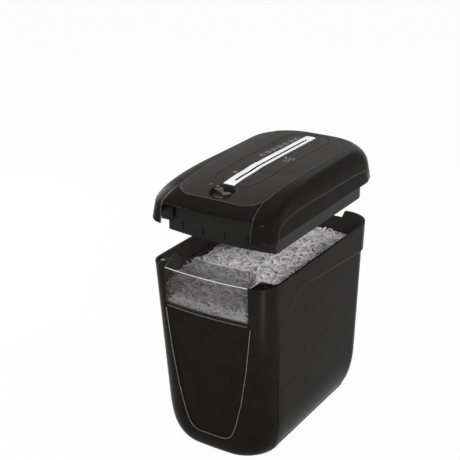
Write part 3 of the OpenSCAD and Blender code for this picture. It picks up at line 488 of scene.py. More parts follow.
BIN_COUNTS = [38, 14, 18, 10, 12, 12, 100, 26, 4, 12, 18]
FOOT_TOP, WIN_ROW, ROW_STEP = 75.0, WIN_LOW - 0.4, 1.8
rows = [FOOT_TOP * (1 - math.cos(math.radians(t))) for t in np.arange(0, 90, 2.5)]
rows += levels(FOOT_TOP, WIN_ROW, ROW_STEP, [(RIM - 70, 5.0)])
rows += levels(WIN_ROW, RIM, ROW_STEP, [(RIM - 35, 6.0)])[1:]
R = []
for z in rows:
    u, g = u_edge(z), groove_y(z)
    edge = PANEL_Y - PANEL_SWEEP * max(0.0, 1 - z / 240.0)
    size = bin_size(z)
    p = ring(size, [("x", u - 4.2), ("x", u + 4.2), ("y", g - 2.4), ("y", g + 2.4), ("y", edge - 3),
                    ("y", edge + 3), ("y", size[2] - size[4]), ("b", size[0] - size[4]), ("b", 57.5),
                    ("b", 47.0)], BIN_COUNTS)
    R.append(np.column_stack([p, np.full(len(p), z)]))
X, Y, Z = np.array(R).transpose(2, 0, 1)  # rows by columns
nrow, ncol = X.shape
NWIN = BIN_COUNTS[0] + BIN_COUNTS[1] // 2  # column at the window's edge

# outward normals in plan
nx = np.roll(Y, -1, 1) - np.roll(Y, 1, 1)
ny = -(np.roll(X, -1, 1) - np.roll(X, 1, 1))
nl = np.sqrt(nx ** 2 + ny ** 2) + 1e-9
nx, ny = nx / nl, ny / nl

# recess along the sides and round the back
d_side = sdf_poly(Y, Z, panel_edge())
side_amt = smooth(2.2, -2.2, d_side) * (Y > -140)
# recess of the front between the pillars
u_pts = [(-x, z) for z, x in U_EDGE] + [(x, z) for z, x in U_EDGE[::-1]]
front_poly = rounded_poly(u_pts, [0, 0, 60, 60, 60, 34, 34, 60, 60, 60, 0, 0], 8)
d_front = sdf_poly(X, Z, front_poly)
front_amt = smooth(4.2, -3.0, d_front) * (Y < -100)
lip = np.exp(-((Z - (RIM - 69.5)) / 1.3) ** 2) * (np.abs(X) < 78) * (Y < -100)
# slanting groove between a pillar and the side
gy = groove_y(Z)
groove = np.exp(-((Y - gy) / 0.85) ** 2) * (np.abs(X) > 60) * smooth(2, 10, Z)
SIDE_DEEP, FRONT_DEEP, LIP_OUT, GROOVE_DEEP = 3.0, 3.8, 1.8, 1.5
inset = SIDE_DEEP * side_amt + FRONT_DEEP * front_amt - LIP_OUT * lip * front_amt + GROOVE_DEEP * groove
inset = inset * smooth(1.0, 10.0, Z)  # none of it at the floor
X, Y = X - nx * inset, Y - ny * inset
U_LINE = [(x, z) for x, z in front_poly if z < RIM - 70]
# hand cut-out in the back of the rim
BACK_HALF, BACK_DEEP = 56.0, 14.0
drop = BACK_DEEP * smooth(BACK_HALF + 1.2, BACK_HALF - 7.0, np.abs(X[-1])) * (Y[-1] > HALF_L - 20)
start = RIM - 34.0  # the rows above it follow the cut-out
up = np.clip((Z - start) / (RIM - start), 0, 1)
Z = np.where(Z > start, start + up * (RIM - drop - start), Z)
# faces: leave out the window's opening
win_row = min(range(nrow), key=lambda r: abs(rows[r] - WIN_ROW))
F = []
for r in range(nrow - 1):
    for c in range(ncol):
        if r >= win_row and (c < NWIN or c >= ncol - NWIN):
            continue
        a, b = r * ncol + c, r * ncol + (c + 1) % ncol
        F.append((a, b, b + ncol, a + ncol))
F.append(tuple(range(ncol))[::-1])  # bottom
bin_shell = new_mesh("bin_shell", np.stack([X, Y + MID, Z], 2).reshape(-1, 3), F)
outward(bin_shell, (0, MID, 160))
thicken(bin_shell, WALL + 0.3, 0.7)
for v in bin_shell.data.vertices:
    v.co.z = min(max(v.co.z, 0.0), RIM * MM)
dress(bin_shell, M_BIN)
bin_shell.data.materials.append(M_BIN_IN_PAINTED_LIGHT)
for p in bin_shell.data.polygons:  # the faces that look inwards are matte, and lighter in colour: painted light on the inner walls
    c, n = p.center, p.normal
    past = c.y - max(min(c.y, 0.1), -0.1)  # how far the face is beyond the straight sides
    if c.z > 4 * MM and abs(n.z) < 0.7 and n.x * c.x + n.y * past < 0 and n.x * c.x + n.y * c.y < 0:
        p.material_index = 1
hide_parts("bin_body")
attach(bin_shell, "bin")


def prism(name, poly, z0, z1, mat, body, slot, edge):
    """Solid over a plan polygon, from z0 to z1 (mm)."""
    poly = [(float(x), float(y)) for x, y in poly]
    n = len(poly)
    vs = [(x, y, z0) for x, y in poly] + [(x, y, z1) for x, y in poly]
    fs = [tuple(range(n))[::-1], tuple(range(n, 2 * n))]
    fs += [(i, (i + 1) % n, n + (i + 1) % n, n + i) for i in range(n)]
    ob = new_mesh(name, vs, fs)
    bevel(ob, edge)
    dress(ob, mat)
    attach(ob, body)


# ears across the front corners, and the rib that meets the interlock pin
for s, tag in SIDES:
    half, y0, y1, rf, rb = bin_size(RIM - 6)
    xs = np.linspace(WIN_HALF + 1.9, half - 2.0, 16)
    edge = [(x, front_at(x, (half - 1.5, y0 + 1.5, y1, rf - 1.5, rb))) for x in xs]
    inner = [(half - 2.0, -HALF_L + 38), (WIN_HALF + 1.9, -HALF_L + 38)]
    poly = [(s * x, y + MID) for x, y in edge + inner]
    prism("ear_" + tag, poly[::s], RIM - 9, RIM - 2, M_BIN, "bin", "bin_black", 0.5)
px, py = (PIN_LO[0] + PIN_HI[0]) / 2, (PIN_LO[1] + PIN_HI[1]) / 2
RIB_X, RIB_HALF, RIB_Z = -109.2, 4, (RIM - 40, RIM - 12.3)
prism("interlock_rib", rect(RIB_X, px + 2.5, py - RIB_HALF, py + RIB_HALF), *RIB_Z,
      M_BIN, "bin", "bin_black", 0.4)

# -------------------- window
M_GLASS, nt, b, co = material("smoked_window")
vary(nt, b, noise(nt, co, 30, 4), ((0.018, 0.0165, 0.016), (0.030, 0.028, 0.027)), (0.3, 0.75),
     (0.12, 0.2), (0.3, 0.8))
b.inputs["Alpha"].default_value = 0.34
b.inputs["Specular IOR Level"].default_value = 0.16

ARC_Y = BOW - HALF_L - (BOW - math.sqrt(BOW ** 2 - (BIN_HI[0] - RF_RIM) ** 2))  # centre of the bow
OUT = BOW - 0.6  # radius of the pane's outer face
LOW = RIM - WIN_LOW
LEAN = FRONT_RAKE * LOW
LEDGE_RUN = 26.0
prof = [(OUT - LEAN, -LOW), (OUT - LEAN * 0.5, -LOW * 0.5), (OUT, -3.4)]
for k in range(7):
    a = math.radians(90 * k / 6)
    prof.append((OUT - 2.6 + 2.6 * math.cos(a * 0.66), -3.4 + 3.4 * math.sin(a)))
prof += [(OUT - 9, 3.6), (OUT - 17, 8.9), (OUT - LEDGE_RUN + 1.2, LEDGE_RISE - 0.8),
         (OUT - LEDGE_RUN, LEDGE_RISE - 0.2)]


def on_bow(r, x):
    """Y at x on an arc about the bow's centre."""
    return ARC_Y - math.sqrt(r * r - x * x) + MID


xs = np.linspace(-WIN_HALF, WIN_HALF, 61)
vs = [(x, on_bow(r, x), RIM + h) for r, h in prof for x in xs]
window = new_mesh("window_pane", vs, grid_faces(len(prof), len(xs)), 60)
outward(window, (0, MID, 200))
thicken(window, 2.4, 0.5)
dress(window, M_GLASS)
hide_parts("bin_window")
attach(window, "bin")
for s, tag in SIDES:
    x1, x0 = WIN_HALF - 0.1, WIN_HALF - 2.5
    side = [(OUT - 3.2, -2.6), (OUT - 3.2, 0.2), (OUT - LEDGE_RUN + 0.6, LEDGE_RISE - 3.0),
            (OUT - LEDGE_RUN + 0.6, -2.6)]
    vs = [(s * x, on_bow(r, x), RIM + h) for x in (x0, x1) for r, h in side]
    fs = [(0, 1, 2, 3), (7, 6, 5, 4)] + [(i, 4 + i, 4 + (i + 1) % 4, (i + 1) % 4) for i in range(4)]
    ck = new_mesh("window_cheek_" + tag, vs, fs)
    bevel(ck, 0.3)
    dress(ck, M_GLASS)
    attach(ck, "bin")

# -------------------- head
def rise(z):
    """Share of the shoulders' run that is used up at height z."""
    u = min(max(z - SIDE_H, 0.0) / (HEAD_TOP - SIDE_H), 1.0)
    return 1 - math.sqrt(1 - u * u)


def leaning(run):
    raw = lambda z: HEAD_LEAN * min(z, SIDE_H) + run * rise(z)
    slope, top = min((raw(z) / z, z) for z in np.linspace(SIDE_H, HEAD_TOP, 140))
    return lambda z: slope * z if z < top else raw(z)


SIDE_IN, FRONT_IN, BACK_IN = leaning(SHOULDER), leaning(BROW), leaning(TAIL)


def head_size(z):
    """Plan of the head's shell at height z over its seat."""
    k = rise(z)
    return (HEAD_HALF - SIDE_IN(z), HEAD_Y0 + FRONT_IN(z), HEAD_Y1 - BACK_IN(z),
            CHEEK_R + CHEEK_GROW * k, HEAD_BACK_R + HEAD_BACK_GROW * k)


def crown_size(k):
    h0 = head_size(HEAD_TOP)
    h1 = (HEAD_HALF - 75, HEAD_Y0 + BROW + 40, HEAD_Y1 - TAIL - 60, CHEEK_R, CHEEK_R)
    return tuple(a + (b - a) * k for a, b in zip(h0, h1))


def head_z(t):
    """Height on the shoulders' rounding at t degrees."""
    return SIDE_H + (HEAD_TOP - SIDE_H) * math.sin(math.radians(t))


def crown_z(k):
    return HEAD_TOP + CROWN * math.sin(math.radians(90 * k))


def inside(size, x, y):
    half, y0, y1, rf, rb = size
    ok = np.abs(x) <= half
    f = front_y(np.clip(x, -half, half), half, y0, rf)
    ax = np.abs(x)
    bk = y1 - rb + np.sqrt(np.maximum(rb ** 2 - np.maximum(ax - (half - rb), 0) ** 2, 0))
    return ok & (y >= f) & (y <= bk)


def top_height(x, y):
    """Height of the head's top over its seat at plan points (no MID shift)."""
    z = np.full(x.shape, SIDE_H)
    for t in np.linspace(0, 90, 91):
        z = np.where(inside(head_size(head_z(t)), x, y), head_z(t), z)
    for k in np.linspace(0.02, 1, 50):
        z = np.where(inside(crown_size(k), x, y), crown_z(k), z)
    return z


HT_X = np.linspace(0, HEAD_HALF, 231)
HT_Y = np.linspace(HEAD_Y0 - 8, HEAD_Y1 + 1, 800)
HT = top_height(*np.meshgrid(HT_X, HT_Y, indexing="ij"))
SMOOTHING = 10  # rounds that take the steps out of the table
for _ in range(SMOOTHING):
    P = np.pad(HT, 1, mode="edge")
    HT = (P[:-2, 1:-1] + P[2:, 1:-1] + P[1:-1, :-2] + P[1:-1, 2:] + 2 * P[1:-1, 1:-1]) / 6


def H(x, y):
    """Interpolated height over the seat."""
    ax = np.abs(np.asarray(x, float))
    yy = np.asarray(y, float)
    fx = np.clip(ax / (HT_X[1] - HT_X[0]), 0, len(HT_X) - 1.001)
    fy = np.clip((yy - HT_Y[0]) / (HT_Y[1] - HT_Y[0]), 0, len(HT_Y) - 1.001)
    i, j = fx.astype(int), fy.astype(int)
    u, v = fx - i, fy - j
    return (HT[i, j] * (1 - u) * (1 - v) + HT[i + 1, j] * u * (1 - v)
            + HT[i, j + 1] * (1 - u) * v + HT[i + 1, j + 1] * u * v)


def deck_outline(e, n):
    """Rounded outline of the deck, e inside its edge."""
    half = DECK_HALF - e
    return rounded_poly(rect(-half, half, DECK_Y0 + e, DECK_Y1 - e), [DECK_R - e] * 4, n)


deck_poly = deck_outline(0.0, 16)
# seam between the front piece and the cheeks: height and half width
SEAM_Z = (0.0, 31.0, 35.0, 39.0, 43.0, 47.0, 51.0, 60.0)
SEAM_X = (81.5, 81.5, 80.9, 79.6, 78.4, 77.2, 75.5, 74.0)
# recess in the head's sides: Y and height
side_line = rounded_poly([(-157, -20), (-155.5, 4), (-148, 18), (-131, 24.5), (-87, 29.5), (99, 27),
                          (150, 23), (172, 12), (176, -20)], [0, 6, 20, 30, 80, 80, 30, 12, 0], 6)
HEAD_COUNTS = [36, 8, 12, 14, 18, 96, 26, 6, 24]
z_rows = [("z", z) for z in list(np.arange(0, 26.1, 1.0))]
z_rows += [("z", head_z(t)) for t in np.linspace(2.5, 90, 48)] + [("k", k) for k in np.linspace(0.08, 1, 12)]
base_stops = None
HV = []
for kind, v in z_rows:
    z = v if kind == "z" else HEAD_TOP
    size = head_size(v) if kind == "z" else crown_size(v)
    seam = float(np.interp(z, SEAM_Z, SEAM_X))
    p, s = outline(size)
    front = [stop_at(p, s, "x", min(seam + q, size[0] - 0.5)) for q in (-4.0, -1.5, 2.5)]
    hi_s, end = front[-1], s[-1]
    if z <= SIDE_H:
        rest = [stop_at(p, s, *q) for q in (("y", -160.0), ("y", -128.0), ("y", size[2] - size[4]),
                                            ("b", size[0] - size[4]), ("b", REAR_GRIP_HALF))]
        base_stops = [(q - hi_s) / (end - hi_s) for q in rest]
    else:
        rest = [hi_s + q * (end - hi_s) for q in base_stops]
    p = walk(p, s, front + rest, HEAD_COUNTS)
    HV.append(np.column_stack([p, np.full(len(p), v if kind == "z" else crown_z(v))]))
HV = np.array(HV)
hr, hc = HV.shape[:2]
# normals of the grid, for the recess and the deck's rebate
du = np.roll(HV, -1, 1) - np.roll(HV, 1, 1)
dv = np.gradient(HV, axis=0)
N = np.cross(du, dv)
N /= np.linalg.norm(N, axis=2, keepdims=True) + 1e-9
hx, hy, hz = HV.transpose(2, 0, 1).copy()
d = sdf_poly(hy, hz, side_line)
amt = smooth(1.8, -1.8, d) * (np.abs(hx) > 84) * 2.2
seam_at = np.abs(hx) - np.interp(hz, SEAM_Z, SEAM_X)
front_side = (hy < -100) & (hz < 51.5)
amt = amt + front_side * (0.9 * np.exp(-(seam_at / 0.7) ** 2) - 0.55 * np.exp(-((seam_at - 1.7) / 0.8) ** 2))
HV = HV - N * amt[:, :, None]
# rounded lower edge
low = np.clip(1 - hz / 3.0, 0, 1)
HV = HV - N * (low ** 2)[:, :, None] * 0.8
dd = sdf_poly(hx, hy, deck_poly)
HV[:, :, 2] -= np.where(hz > 30, 2.0 * smooth(-1.0, -4.0, dd), 0)
# finger openings: lift the lower edge of the front and back columns
GR = 6.0


def opening_edge(x, half, h):
    ax = np.abs(x)
    arc = h - GR + np.sqrt(np.maximum(GR ** 2 - (ax - half + GR) ** 2, 0))
    return np.where(ax < half - GR, h, np.where(ax < half, arc, 0))


edge_f = opening_edge(hx, GRIP_HALF, GRIP_H)
edge_b = opening_edge(hx, REAR_GRIP_HALF, REAR_GRIP_H)
back_zone = (hy > HEAD_Y1 - 14) & (np.abs(hx) < REAR_GRIP_HALF - 0.02)
front_zone = (hy < HEAD_Y0 + 40) & (np.abs(hx) < GRIP_HALF - 0.02)
lift_to = np.where(front_zone, edge_f, np.where(back_zone, edge_b, 0.0))
# the row next to the edge of an opening is moved onto it
HVf = HV.copy()
cut_row = np.full(hc, -1)
for c in range(hc):
    lim = float(np.max(lift_to[:40, c]))
    if lim <= 0.0:
        continue
    r = int(np.max(np.nonzero(hz[:40, c] < lim)[0]))
    z0, z1 = hz[r, c], hz[r + 1, c]
    u = (lim - z0) / (z1 - z0)
    keep = r + 1 if u > 0.5 else r
    HVf[keep, c] = HV[r, c] * (1 - u) + HV[r + 1, c] * u
    cut_row[c] = keep
Fh = []
for r in range(hr - 1):
    for c in range(hc):
        c2 = (c + 1) % hc
        lost = [r < cut_row[c], r < cut_row[c2], r + 1 < cut_row[c2], r + 1 < cut_row[c]]
        q = [(r, c), (r, c2), (r + 1, c2), (r + 1, c)]
        if all(dd[i] < -7.0 and hz[i] > 30 for i in q):
            continue
        left = [i for i, gone in zip(q, lost) if not gone]
        if len(left) >= 3:
            Fh.append(tuple(i * hc + j for i, j in left))
HVf[:, :, 1] += MID
HVf[:, :, 2] += SEAT
head = new_mesh("head_cover", HVf.reshape(-1, 3), Fh)
bm = bmesh.new()
bm.from_mesh(head.data)
loose = [v for v in bm.verts if not v.link_faces]
bmesh.ops.delete(bm, geom=loose, context="VERTS")
bm.to_mesh(head.data)
bm.free()
outward(head, (0, MID, SEAT + 20))
thicken(head, SHELL_T - 0.4, 0.7)
LIP_FRONT, LIP_BACK, LIP_ROOM = -0.160, -0.145, -0.1568  # m
for v in head.data.vertices:
    v.co.z = max(v.co.z, SEAT * MM)
    # room for the lever's swing, in the lip under the deck
    if abs(v.co.x) < 24 * MM and LIP_FRONT < v.co.y < LIP_BACK and v.co.z > (SEAT + 40) * MM:
        v.co.y = min(v.co.y, LIP_ROOM)
dress(head, M_HEAD)
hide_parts("head_shell")
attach(head, "head")

# -------------------- deck
STEP = 1.25
gx = np.arange(-DECK_HALF, DECK_HALF + 1e-6, STEP)
gx = np.unique(np.round(np.concatenate([gx, [TRIM_X0, TRIM_X1, -DECK_HALF, DECK_HALF]]), 3))
TY0, TY1 = SLOT_Y - TRIM_L / 2, SLOT_Y + TRIM_L / 2
gy = np.unique(np.concatenate([np.arange(DECK_Y0, DECK_Y1 + 1e-6, STEP), [TY0, TY1, DECK_Y1]]))
GX, GY = np.meshgrid(gx, gy, indexing="ij")


def snap(x, y, dist):
    """Moves grid points that lie close to an outline onto it."""
    d0 = dist(x, y)
    e = 0.05
    sx = (dist(x + e, y) - dist(x - e, y)) / (2 * e)
    sy = (dist(x, y + e) - dist(x, y - e)) / (2 * e)
    m = np.abs(d0) < STEP * 0.6
    return np.where(m, x - d0 * sx, x), np.where(m, y - d0 * sy, y)


def from_deck(x, y):
    return sdf_poly(x, y, deck_poly)


def from_well(x, y):
    return np.sqrt((x - WELL_X) ** 2 + (y - WELL_Y) ** 2) - (WELL_R - 1.0)


DX, DY = snap(*snap(GX, GY, from_deck), from_well)
dk, dw = from_deck(DX, DY), from_well(DX, DY)
HZ = H(DX, DY)
# groove round the slot in the shape of a stadium
GROOVE_L, GROOVE_HALF, GROOVE_Y = 292.0, 40.5, SLOT_Y + 6
sy = np.maximum(np.abs(DY - GROOVE_Y) - (GROOVE_L / 2 - GROOVE_HALF), 0)
dg = np.sqrt(DX ** 2 + sy ** 2) - GROOVE_HALF
HZ = HZ - 1.0 * np.exp(-(dg / 1.15) ** 2)
# shallow dish inside the groove
HZ = HZ - 0.8 * smooth(0, -10, dg) * 0.6
# turned-down border and well lip
HZ = HZ + 0.5 - 1.7 * smooth(-1.6, 0.0, dk) ** 2 - 1.0 * smooth(2.0, 0.0, dw) ** 2
idx = -np.ones(GX.shape, int)
keepv = (dk < 0.02) & (dw > -0.02)
idx[keepv] = np.arange(keepv.sum())
vs = np.column_stack([DX[keepv], DY[keepv] + MID, SEAT + HZ[keepv]])
fs = []
for i in range(GX.shape[0] - 1):
    for j in range(GX.shape[1] - 1):
        q = [(i, j), (i + 1, j), (i + 1, j + 1), (i, j + 1)]
        cx, cy = (gx[i] + gx[i + 1]) / 2, (gy[j] + gy[j + 1]) / 2
        if TRIM_X0 < cx < TRIM_X1 and abs(cy - SLOT_Y) < TRIM_L / 2:
            continue
        ids = [idx[a] for a in q if idx[a] >= 0]
        if len(ids) >= 3:
            fs.append(tuple(ids))
deck = new_mesh("deck_top", vs, fs)
outward(deck, (0, MID, 0))
thicken(deck, 1.8)
dress(deck, M_DECK)
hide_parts("deck_panel")
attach(deck, "head")

# cup of the control's well
WELL_FLOOR = float(LEVER_LOW + 9 - SEAT)
NA = 96
ang = np.linspace(0, 2 * math.pi, NA, endpoint=False)
wr = WELL_R - 1.0
rimz = H(WELL_X + wr * np.cos(ang), WELL_Y + wr * np.sin(ang)) - 0.7
# radius, and share of the way from the rim down to the floor
CUP = ((wr, 0.0), (wr - 0.5, 0.12), (wr - 0.9, 0.4), (wr - 1.3, 0.7), (wr - 1.9, 0.9), (wr - 3.0, 0.985),
       (wr - 4.2, 1.0), (wr * 0.5, 1.0), (4.2, 1.0))
cup = [np.column_stack([WELL_X + r * np.cos(ang), WELL_Y + r * np.sin(ang) + MID,
                        SEAT + rimz * (1 - k) + WELL_FLOOR * k]) for r, k in CUP]
cupo = new_mesh("control_well", np.concatenate(cup, 0), grid_faces(len(CUP), NA, True), 60)
face_up(cupo)
thicken(cupo, 1.2)
dress(cupo, M_DECK)
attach(cupo, "head")

# -------------------- printed marks
def inner_dish(x, y):
    q = max(abs(y - GROOVE_Y) - (GROOVE_L / 2 - GROOVE_HALF), 0)
    return math.hypot(x, q) < GROOVE_HALF - 6


def mark(name, polys):
    """Thin print that lies on the deck."""
    vs, fs = [], []
    for poly in polys:
        fs.append(tuple(range(len(vs), len(vs) + len(poly))))
        for x, y in poly:
            vs.append((x, y + MID, SEAT + float(H(x, y)) + 0.5 + 0.12 - (0.48 if inner_dish(x, y) else 0.0)))
    ob = new_mesh(name, vs, fs)
    face_up(ob)
    thicken(ob, 0.1)
    dress(ob, M_MARK)
    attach(ob, "head")


def bar(cx, cy, w, h, a=0.0):
    c, s = math.cos(a), math.sin(a)
    return [(cx + c * x - s * y, cy + s * x + c * y) for x, y in rect(-w / 2, w / 2, -h / 2, h / 2)]


def ring_poly(cx, cy, r, w, n=20):
    """Circle of width w, in n pieces."""
    out = []
    for i in range(n):
        a0, a1 = 2 * math.pi * i / n, 2 * math.pi * (i + 1) / n
        out.append([(cx + q * math.cos(a), cy + q * math.sin(a))
                    for q, a in ((r, a0), (r, a1), (r - w, a1), (r - w, a0))])
    return out


def arrow(cx, cy, a, s):
    c, q = math.cos(a), math.sin(a)
    return [[(cx + c * x * s - q * y * s, cy + q * x * s + c * y * s) for x, y in pts]
            for pts in (rect(-4, 1.5, -0.7, 0.7), [(1.5, -2.3), (4.5, 0), (1.5, 2.3)])]


def outline_box(cx, cy, w, h):
    t = 0.7
    return [bar(cx, cy - h / 2, w, t), bar(cx, cy + h / 2, w, t),
            bar(cx - w / 2, cy, t, h), bar(cx + w / 2, cy, t, h)]


marks = ring_poly(-15.0, -123, 2.1, 0.7)
marks.append(bar(-2.0, -112.0, 0.9, 4.2, 0.3))
marks += arrow(-29, -121, math.radians(200), 0.55)
mark("control_marks", marks)
feed = arrow(15.5, 36.5, math.radians(90), 0.9)
feed += [bar(20, 31, 0.8, 8, 0.5), bar(23.5, 36, 0.8, 9), bar(27, 32, 0.8, 10),
         bar(30.5, 37, 0.8, 8, -0.4), bar(33.5, 31, 0.8, 7)]
feed += outline_box(25, 21.5, 9, 5)
mark("feed_marks", feed)
row = []
for i in range(7):
    y = 28 + 18.0 * i
    x = -24.5 + 0.9 * i
    row += outline_box(x, y, 7.5, 11) + [bar(x, y - 2.2, 4.2, 0.7), bar(x, y + 1.2, 4.2, 0.7)]
    row += [bar(x - 0.8, y + 3.4, 2.4, 1.6, 0.5)] if i % 2 else [bar(x + 0.8, y - 4.0, 0.7, 2.6, 0.7)]
mark("guide_marks", row)
mark("pause_mark", outline_box(-19.5, -64, 6.5, 4.0) + [bar(-19.5, -64, 3.4, 1.6)])

# -------------------- slot trim
def rail(x0, x1, y0, y1, lift, base, n):
    """Bar that follows the deck's height: bottom and top corners at each station."""
    vs, fs = [], []
    for y in np.linspace(y0, y1, n):
        z = SEAT + float(H(0.0, y))
        vs += [(x, y + MID, z + h) for x, h in rect(x0, x1, base, lift)]
    m = len(vs) // 4
    for i in range(m - 1):
        a, b = 4 * i, 4 * i + 4
        fs += [(a + k, a + (k + 1) % 4, b + (k + 1) % 4, b + k) for k in range(4)]
    fs += [(3, 2, 1, 0), (4 * m - 4, 4 * m - 3, 4 * m - 2, 4 * m - 1)]
    return vs, fs


def joined(name, parts, mat, edge):
    vs, fs = [], []
    for v, f in parts:
        fs += [tuple(i + len(vs) for i in q) for q in f]
        vs += v
    ob = new_mesh(name, vs, fs)
    bevel(ob, edge, 40)
    dress(ob, mat)
    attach(ob, "head")
    return ob


SLOT_HALF = 2.3
SY0, SY1 = SLOT_Y - 119.0, SLOT_Y + 119.0  # ends of the slot
STEP_A, STEP_B = -12.0, 56.0  # steps of the trim's two sides
RAIL_Z = -3.0  # the rails' lower faces, below the deck
RY0, RY1 = TY0 + 0.4, TY1 - 0.4
parts = [rail(-8.0, -SLOT_HALF, RY0, RY1, 1.0, RAIL_Z, 60), rail(SLOT_HALF, 6.0, RY0, RY1, 1.0, RAIL_Z, 60),
         rail(TRIM_X0 + 0.3, -8.3, RY0, STEP_A, 0.9, RAIL_Z, 24),
         rail(TRIM_X0 + 1.6, -8.3, STEP_B, RY1, 0.9, RAIL_Z, 24),
         rail(6.0, TRIM_X1 - 0.3, RY0, STEP_B, 0.9, RAIL_Z, 30)]
for y in (RY0, SY1):
    parts.append(rail(-SLOT_HALF - 0.2, SLOT_HALF + 0.2, y, y + (RY1 - SY1), 0.98, RAIL_Z, 4))
y = STEP_A + 1.4
while y < STEP_B - 1.0:
    parts.append(rail(TRIM_X0 + 0.6, -8.2, y, y + 1.0, 0.8, RAIL_Z, 2))
    y += 2.1
y = STEP_B + 1.2
while y < TY1 - 2.0:
    parts.append(rail(6.1, TRIM_X1 - 0.5, y, y + 1.1, 0.8, RAIL_Z, 2))
    y += 2.3
trim = joined("trim_rails", parts, M_TRIM, 0.16)
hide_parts("slot_trim")
base = [rail(TRIM_X0 - 0.2, -SLOT_HALF - 0.3, TY0 - 0.2, TY1 + 0.2, -0.6, -4.0, 60),
        rail(SLOT_HALF + 0.3, TRIM_X1 + 0.2, TY0 - 0.2, TY1 + 0.2, -0.6, -4.0, 60)]
LINING = SLOT_HALF + 1.0
for x0, x1, y0, y1, n in ((-LINING, -SLOT_HALF, SY0, SY1, 50), (SLOT_HALF, LINING, SY0, SY1, 50),
                          (-LINING, LINING, TY0, SY0, 4), (-LINING, LINING, SY1, TY1, 4)):
    base.append(rail(x0, x1, y0, y1, -0.8, -14.0, n))
joined("trim_bed", base, M_CASE, 0.1)


def bead(name, path, r, mat, body, closed=False):
    """Round bead along a path of points in mm."""
    P = np.array(path, float)
    n, sides = len(P), 8
    vs = []
    for i in range(n):
        a, b = (P[i - 1], P[(i + 1) % n]) if closed else (P[max(i - 1, 0)], P[min(i + 1, n - 1)])
        t = (b - a) / (np.linalg.norm(b - a) + 1e-9)
        u = np.cross(t, (0.0, 0.0, 1.0))
        if np.linalg.norm(u) < 0.2:
            u = np.cross(t, (0.0, 1.0, 0.0))
        u /= np.linalg.norm(u)
        w = np.cross(t, u)
        for k in range(sides):
            q = 2 * math.pi * k / sides
            vs.append(P[i] + r * (math.cos(q) * u + math.sin(q) * w))
    fs = []
    for i in range(n if closed else n - 1):
        j = (i + 1) % n
        fs += [(i * sides + k, i * sides + (k + 1) % sides, j * sides + (k + 1) % sides, j * sides + k)
               for k in range(sides)]
    if not closed:
        fs += [tuple(range(sides)), tuple(range((n - 1) * sides, n * sides))[::-1]]
    ob = new_mesh(name, vs, fs, 80)
    dress(ob, mat)
    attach(ob, body)


# lighter plastic for the beads along the rolled edges: the rounded edges are real, their lighter colour is a
# painted highlight
M_EDGE_PAINTED_HIGHLIGHT = plastic("edge_painted_highlight", (0.060, 0.055, 0.052), (0.085, 0.078, 0.074), (0.22, 0.30), 900, 0.03, 0.5)
# light grey bead on the window's top edge: the rounded crest is real, its light grey colour is a painted
# highlight
M_CLEAR_PAINTED_HIGHLIGHT = plastic("clear_edge_painted_highlight", (0.52, 0.51, 0.50), (0.62, 0.61, 0.60), (0.1, 0.16), 900, 0.02, 0.5)
lip_path = [(x, front_at(x, bin_size(z)) + 0.9 + MID, z) for x, z in U_LINE]
bead("panel_lip", lip_path, 0.9, M_EDGE_PAINTED_HIGHLIGHT, "bin")
top_path = [(x, on_bow(OUT - 0.7, x), RIM - 0.9) for x in np.linspace(-WIN_HALF + 0.6, WIN_HALF - 0.6, 60)]
bead("window_edge", top_path, 0.75, M_CLEAR_PAINTED_HIGHLIGHT, "bin")
SILL = WIN_LOW - 3.0
sill = [(x, front_at(x, bin_size(SILL)) + 0.3 + MID, SILL)
        for x in np.linspace(-WIN_HALF + 2.0, WIN_HALF - 2.0, 60)]
bead("window_sill", sill, 0.8, M_EDGE_PAINTED_HIGHLIGHT, "bin")
half, y0, y1, rf, rb = bin_size(RIM)
for s, tag in SIDES:
    path = [(s * (half - 1.1), y + MID, RIM - 0.56) for y in np.linspace(y0 + rf - 4, y1 - rb, 30)]
    bead("rim_edge_" + tag, path, 0.5, M_EDGE_PAINTED_HIGHLIGHT, "bin")
edge_poly = deck_outline(0.7, 24)
path = []
for (x, y), (x2, y2) in zip(edge_poly, edge_poly[1:] + edge_poly[:1]):
    m = max(1, int(math.hypot(x2 - x, y2 - y) / 3.0))
    path += [(x + (x2 - x) * k / m, y + (y2 - y) * k / m) for k in range(m)]
path = [(x, y + MID, SEAT + float(H(x, y)) + 0.15) for x, y in path]
bead("deck_edge", path, 0.42, M_EDGE_PAINTED_HIGHLIGHT, "head", True)
for s, tag in SIDES:
    path = []
    for z in np.linspace(1.0, 51.0, 60):
        x = float(np.interp(z, SEAM_Z, SEAM_X)) + 1.3
        path.append((s * x, front_at(s * x, head_size(z)) + 0.1 + MID, SEAT + z + 0.1))
    bead("cheek_edge_" + tag, path, 0.5, M_EDGE_PAINTED_HIGHLIGHT, "head")
# wall behind the finger opening, out to the cover's sides
WALL_X, WALL_Y = (86, 108.3), (-147.6 + MID, -145.2 + MID)
for s, tag in SIDES:
    poly = rect(s * WALL_X[0], s * WALL_X[1], *WALL_Y)
    prism("grip_wall_" + tag, poly[::s], SEAT - 10, SEAT + 37, M_CASE, "head", "head_black", 0.4)

# -------------------- shredded paper
M_PAPER, nt, b, co = material("paper_shreds")
at = new_node(nt, "Attribute")
at.attribute_name = "tint"
grain = noise(nt, co, 500, 3)
mx = new_node(nt, "Mix")
mx.data_type = "RGBA"
mx.blend_type = "MULTIPLY"
mx.inputs[0].default_value = 0.3
nt.links.new(at.outputs["Color"], mx.inputs[6])
nt.links.new(ramp(nt, grain, [(0.3, (0.92, 0.91, 0.92)), (0.7, (1.0, 1.0, 1.0))]), mx.inputs[7])
nt.links.new(mx.outputs[2], b.inputs["Base Color"])
nt.links.new(ramp(nt, grain, [(0.3, (0.7,) * 3), (0.8, (0.85,) * 3)]), b.inputs["Roughness"])
b.inputs["Specular IOR Level"].default_value = 0.2


def paint(ob, tints):
    """Colour of every point, for the paper."""
    col = ob.data.color_attributes.new("tint", "FLOAT_COLOR", "POINT")
    col.data.foreach_set("color", np.array(tints).reshape(-1))
    dress(ob, M_PAPER)


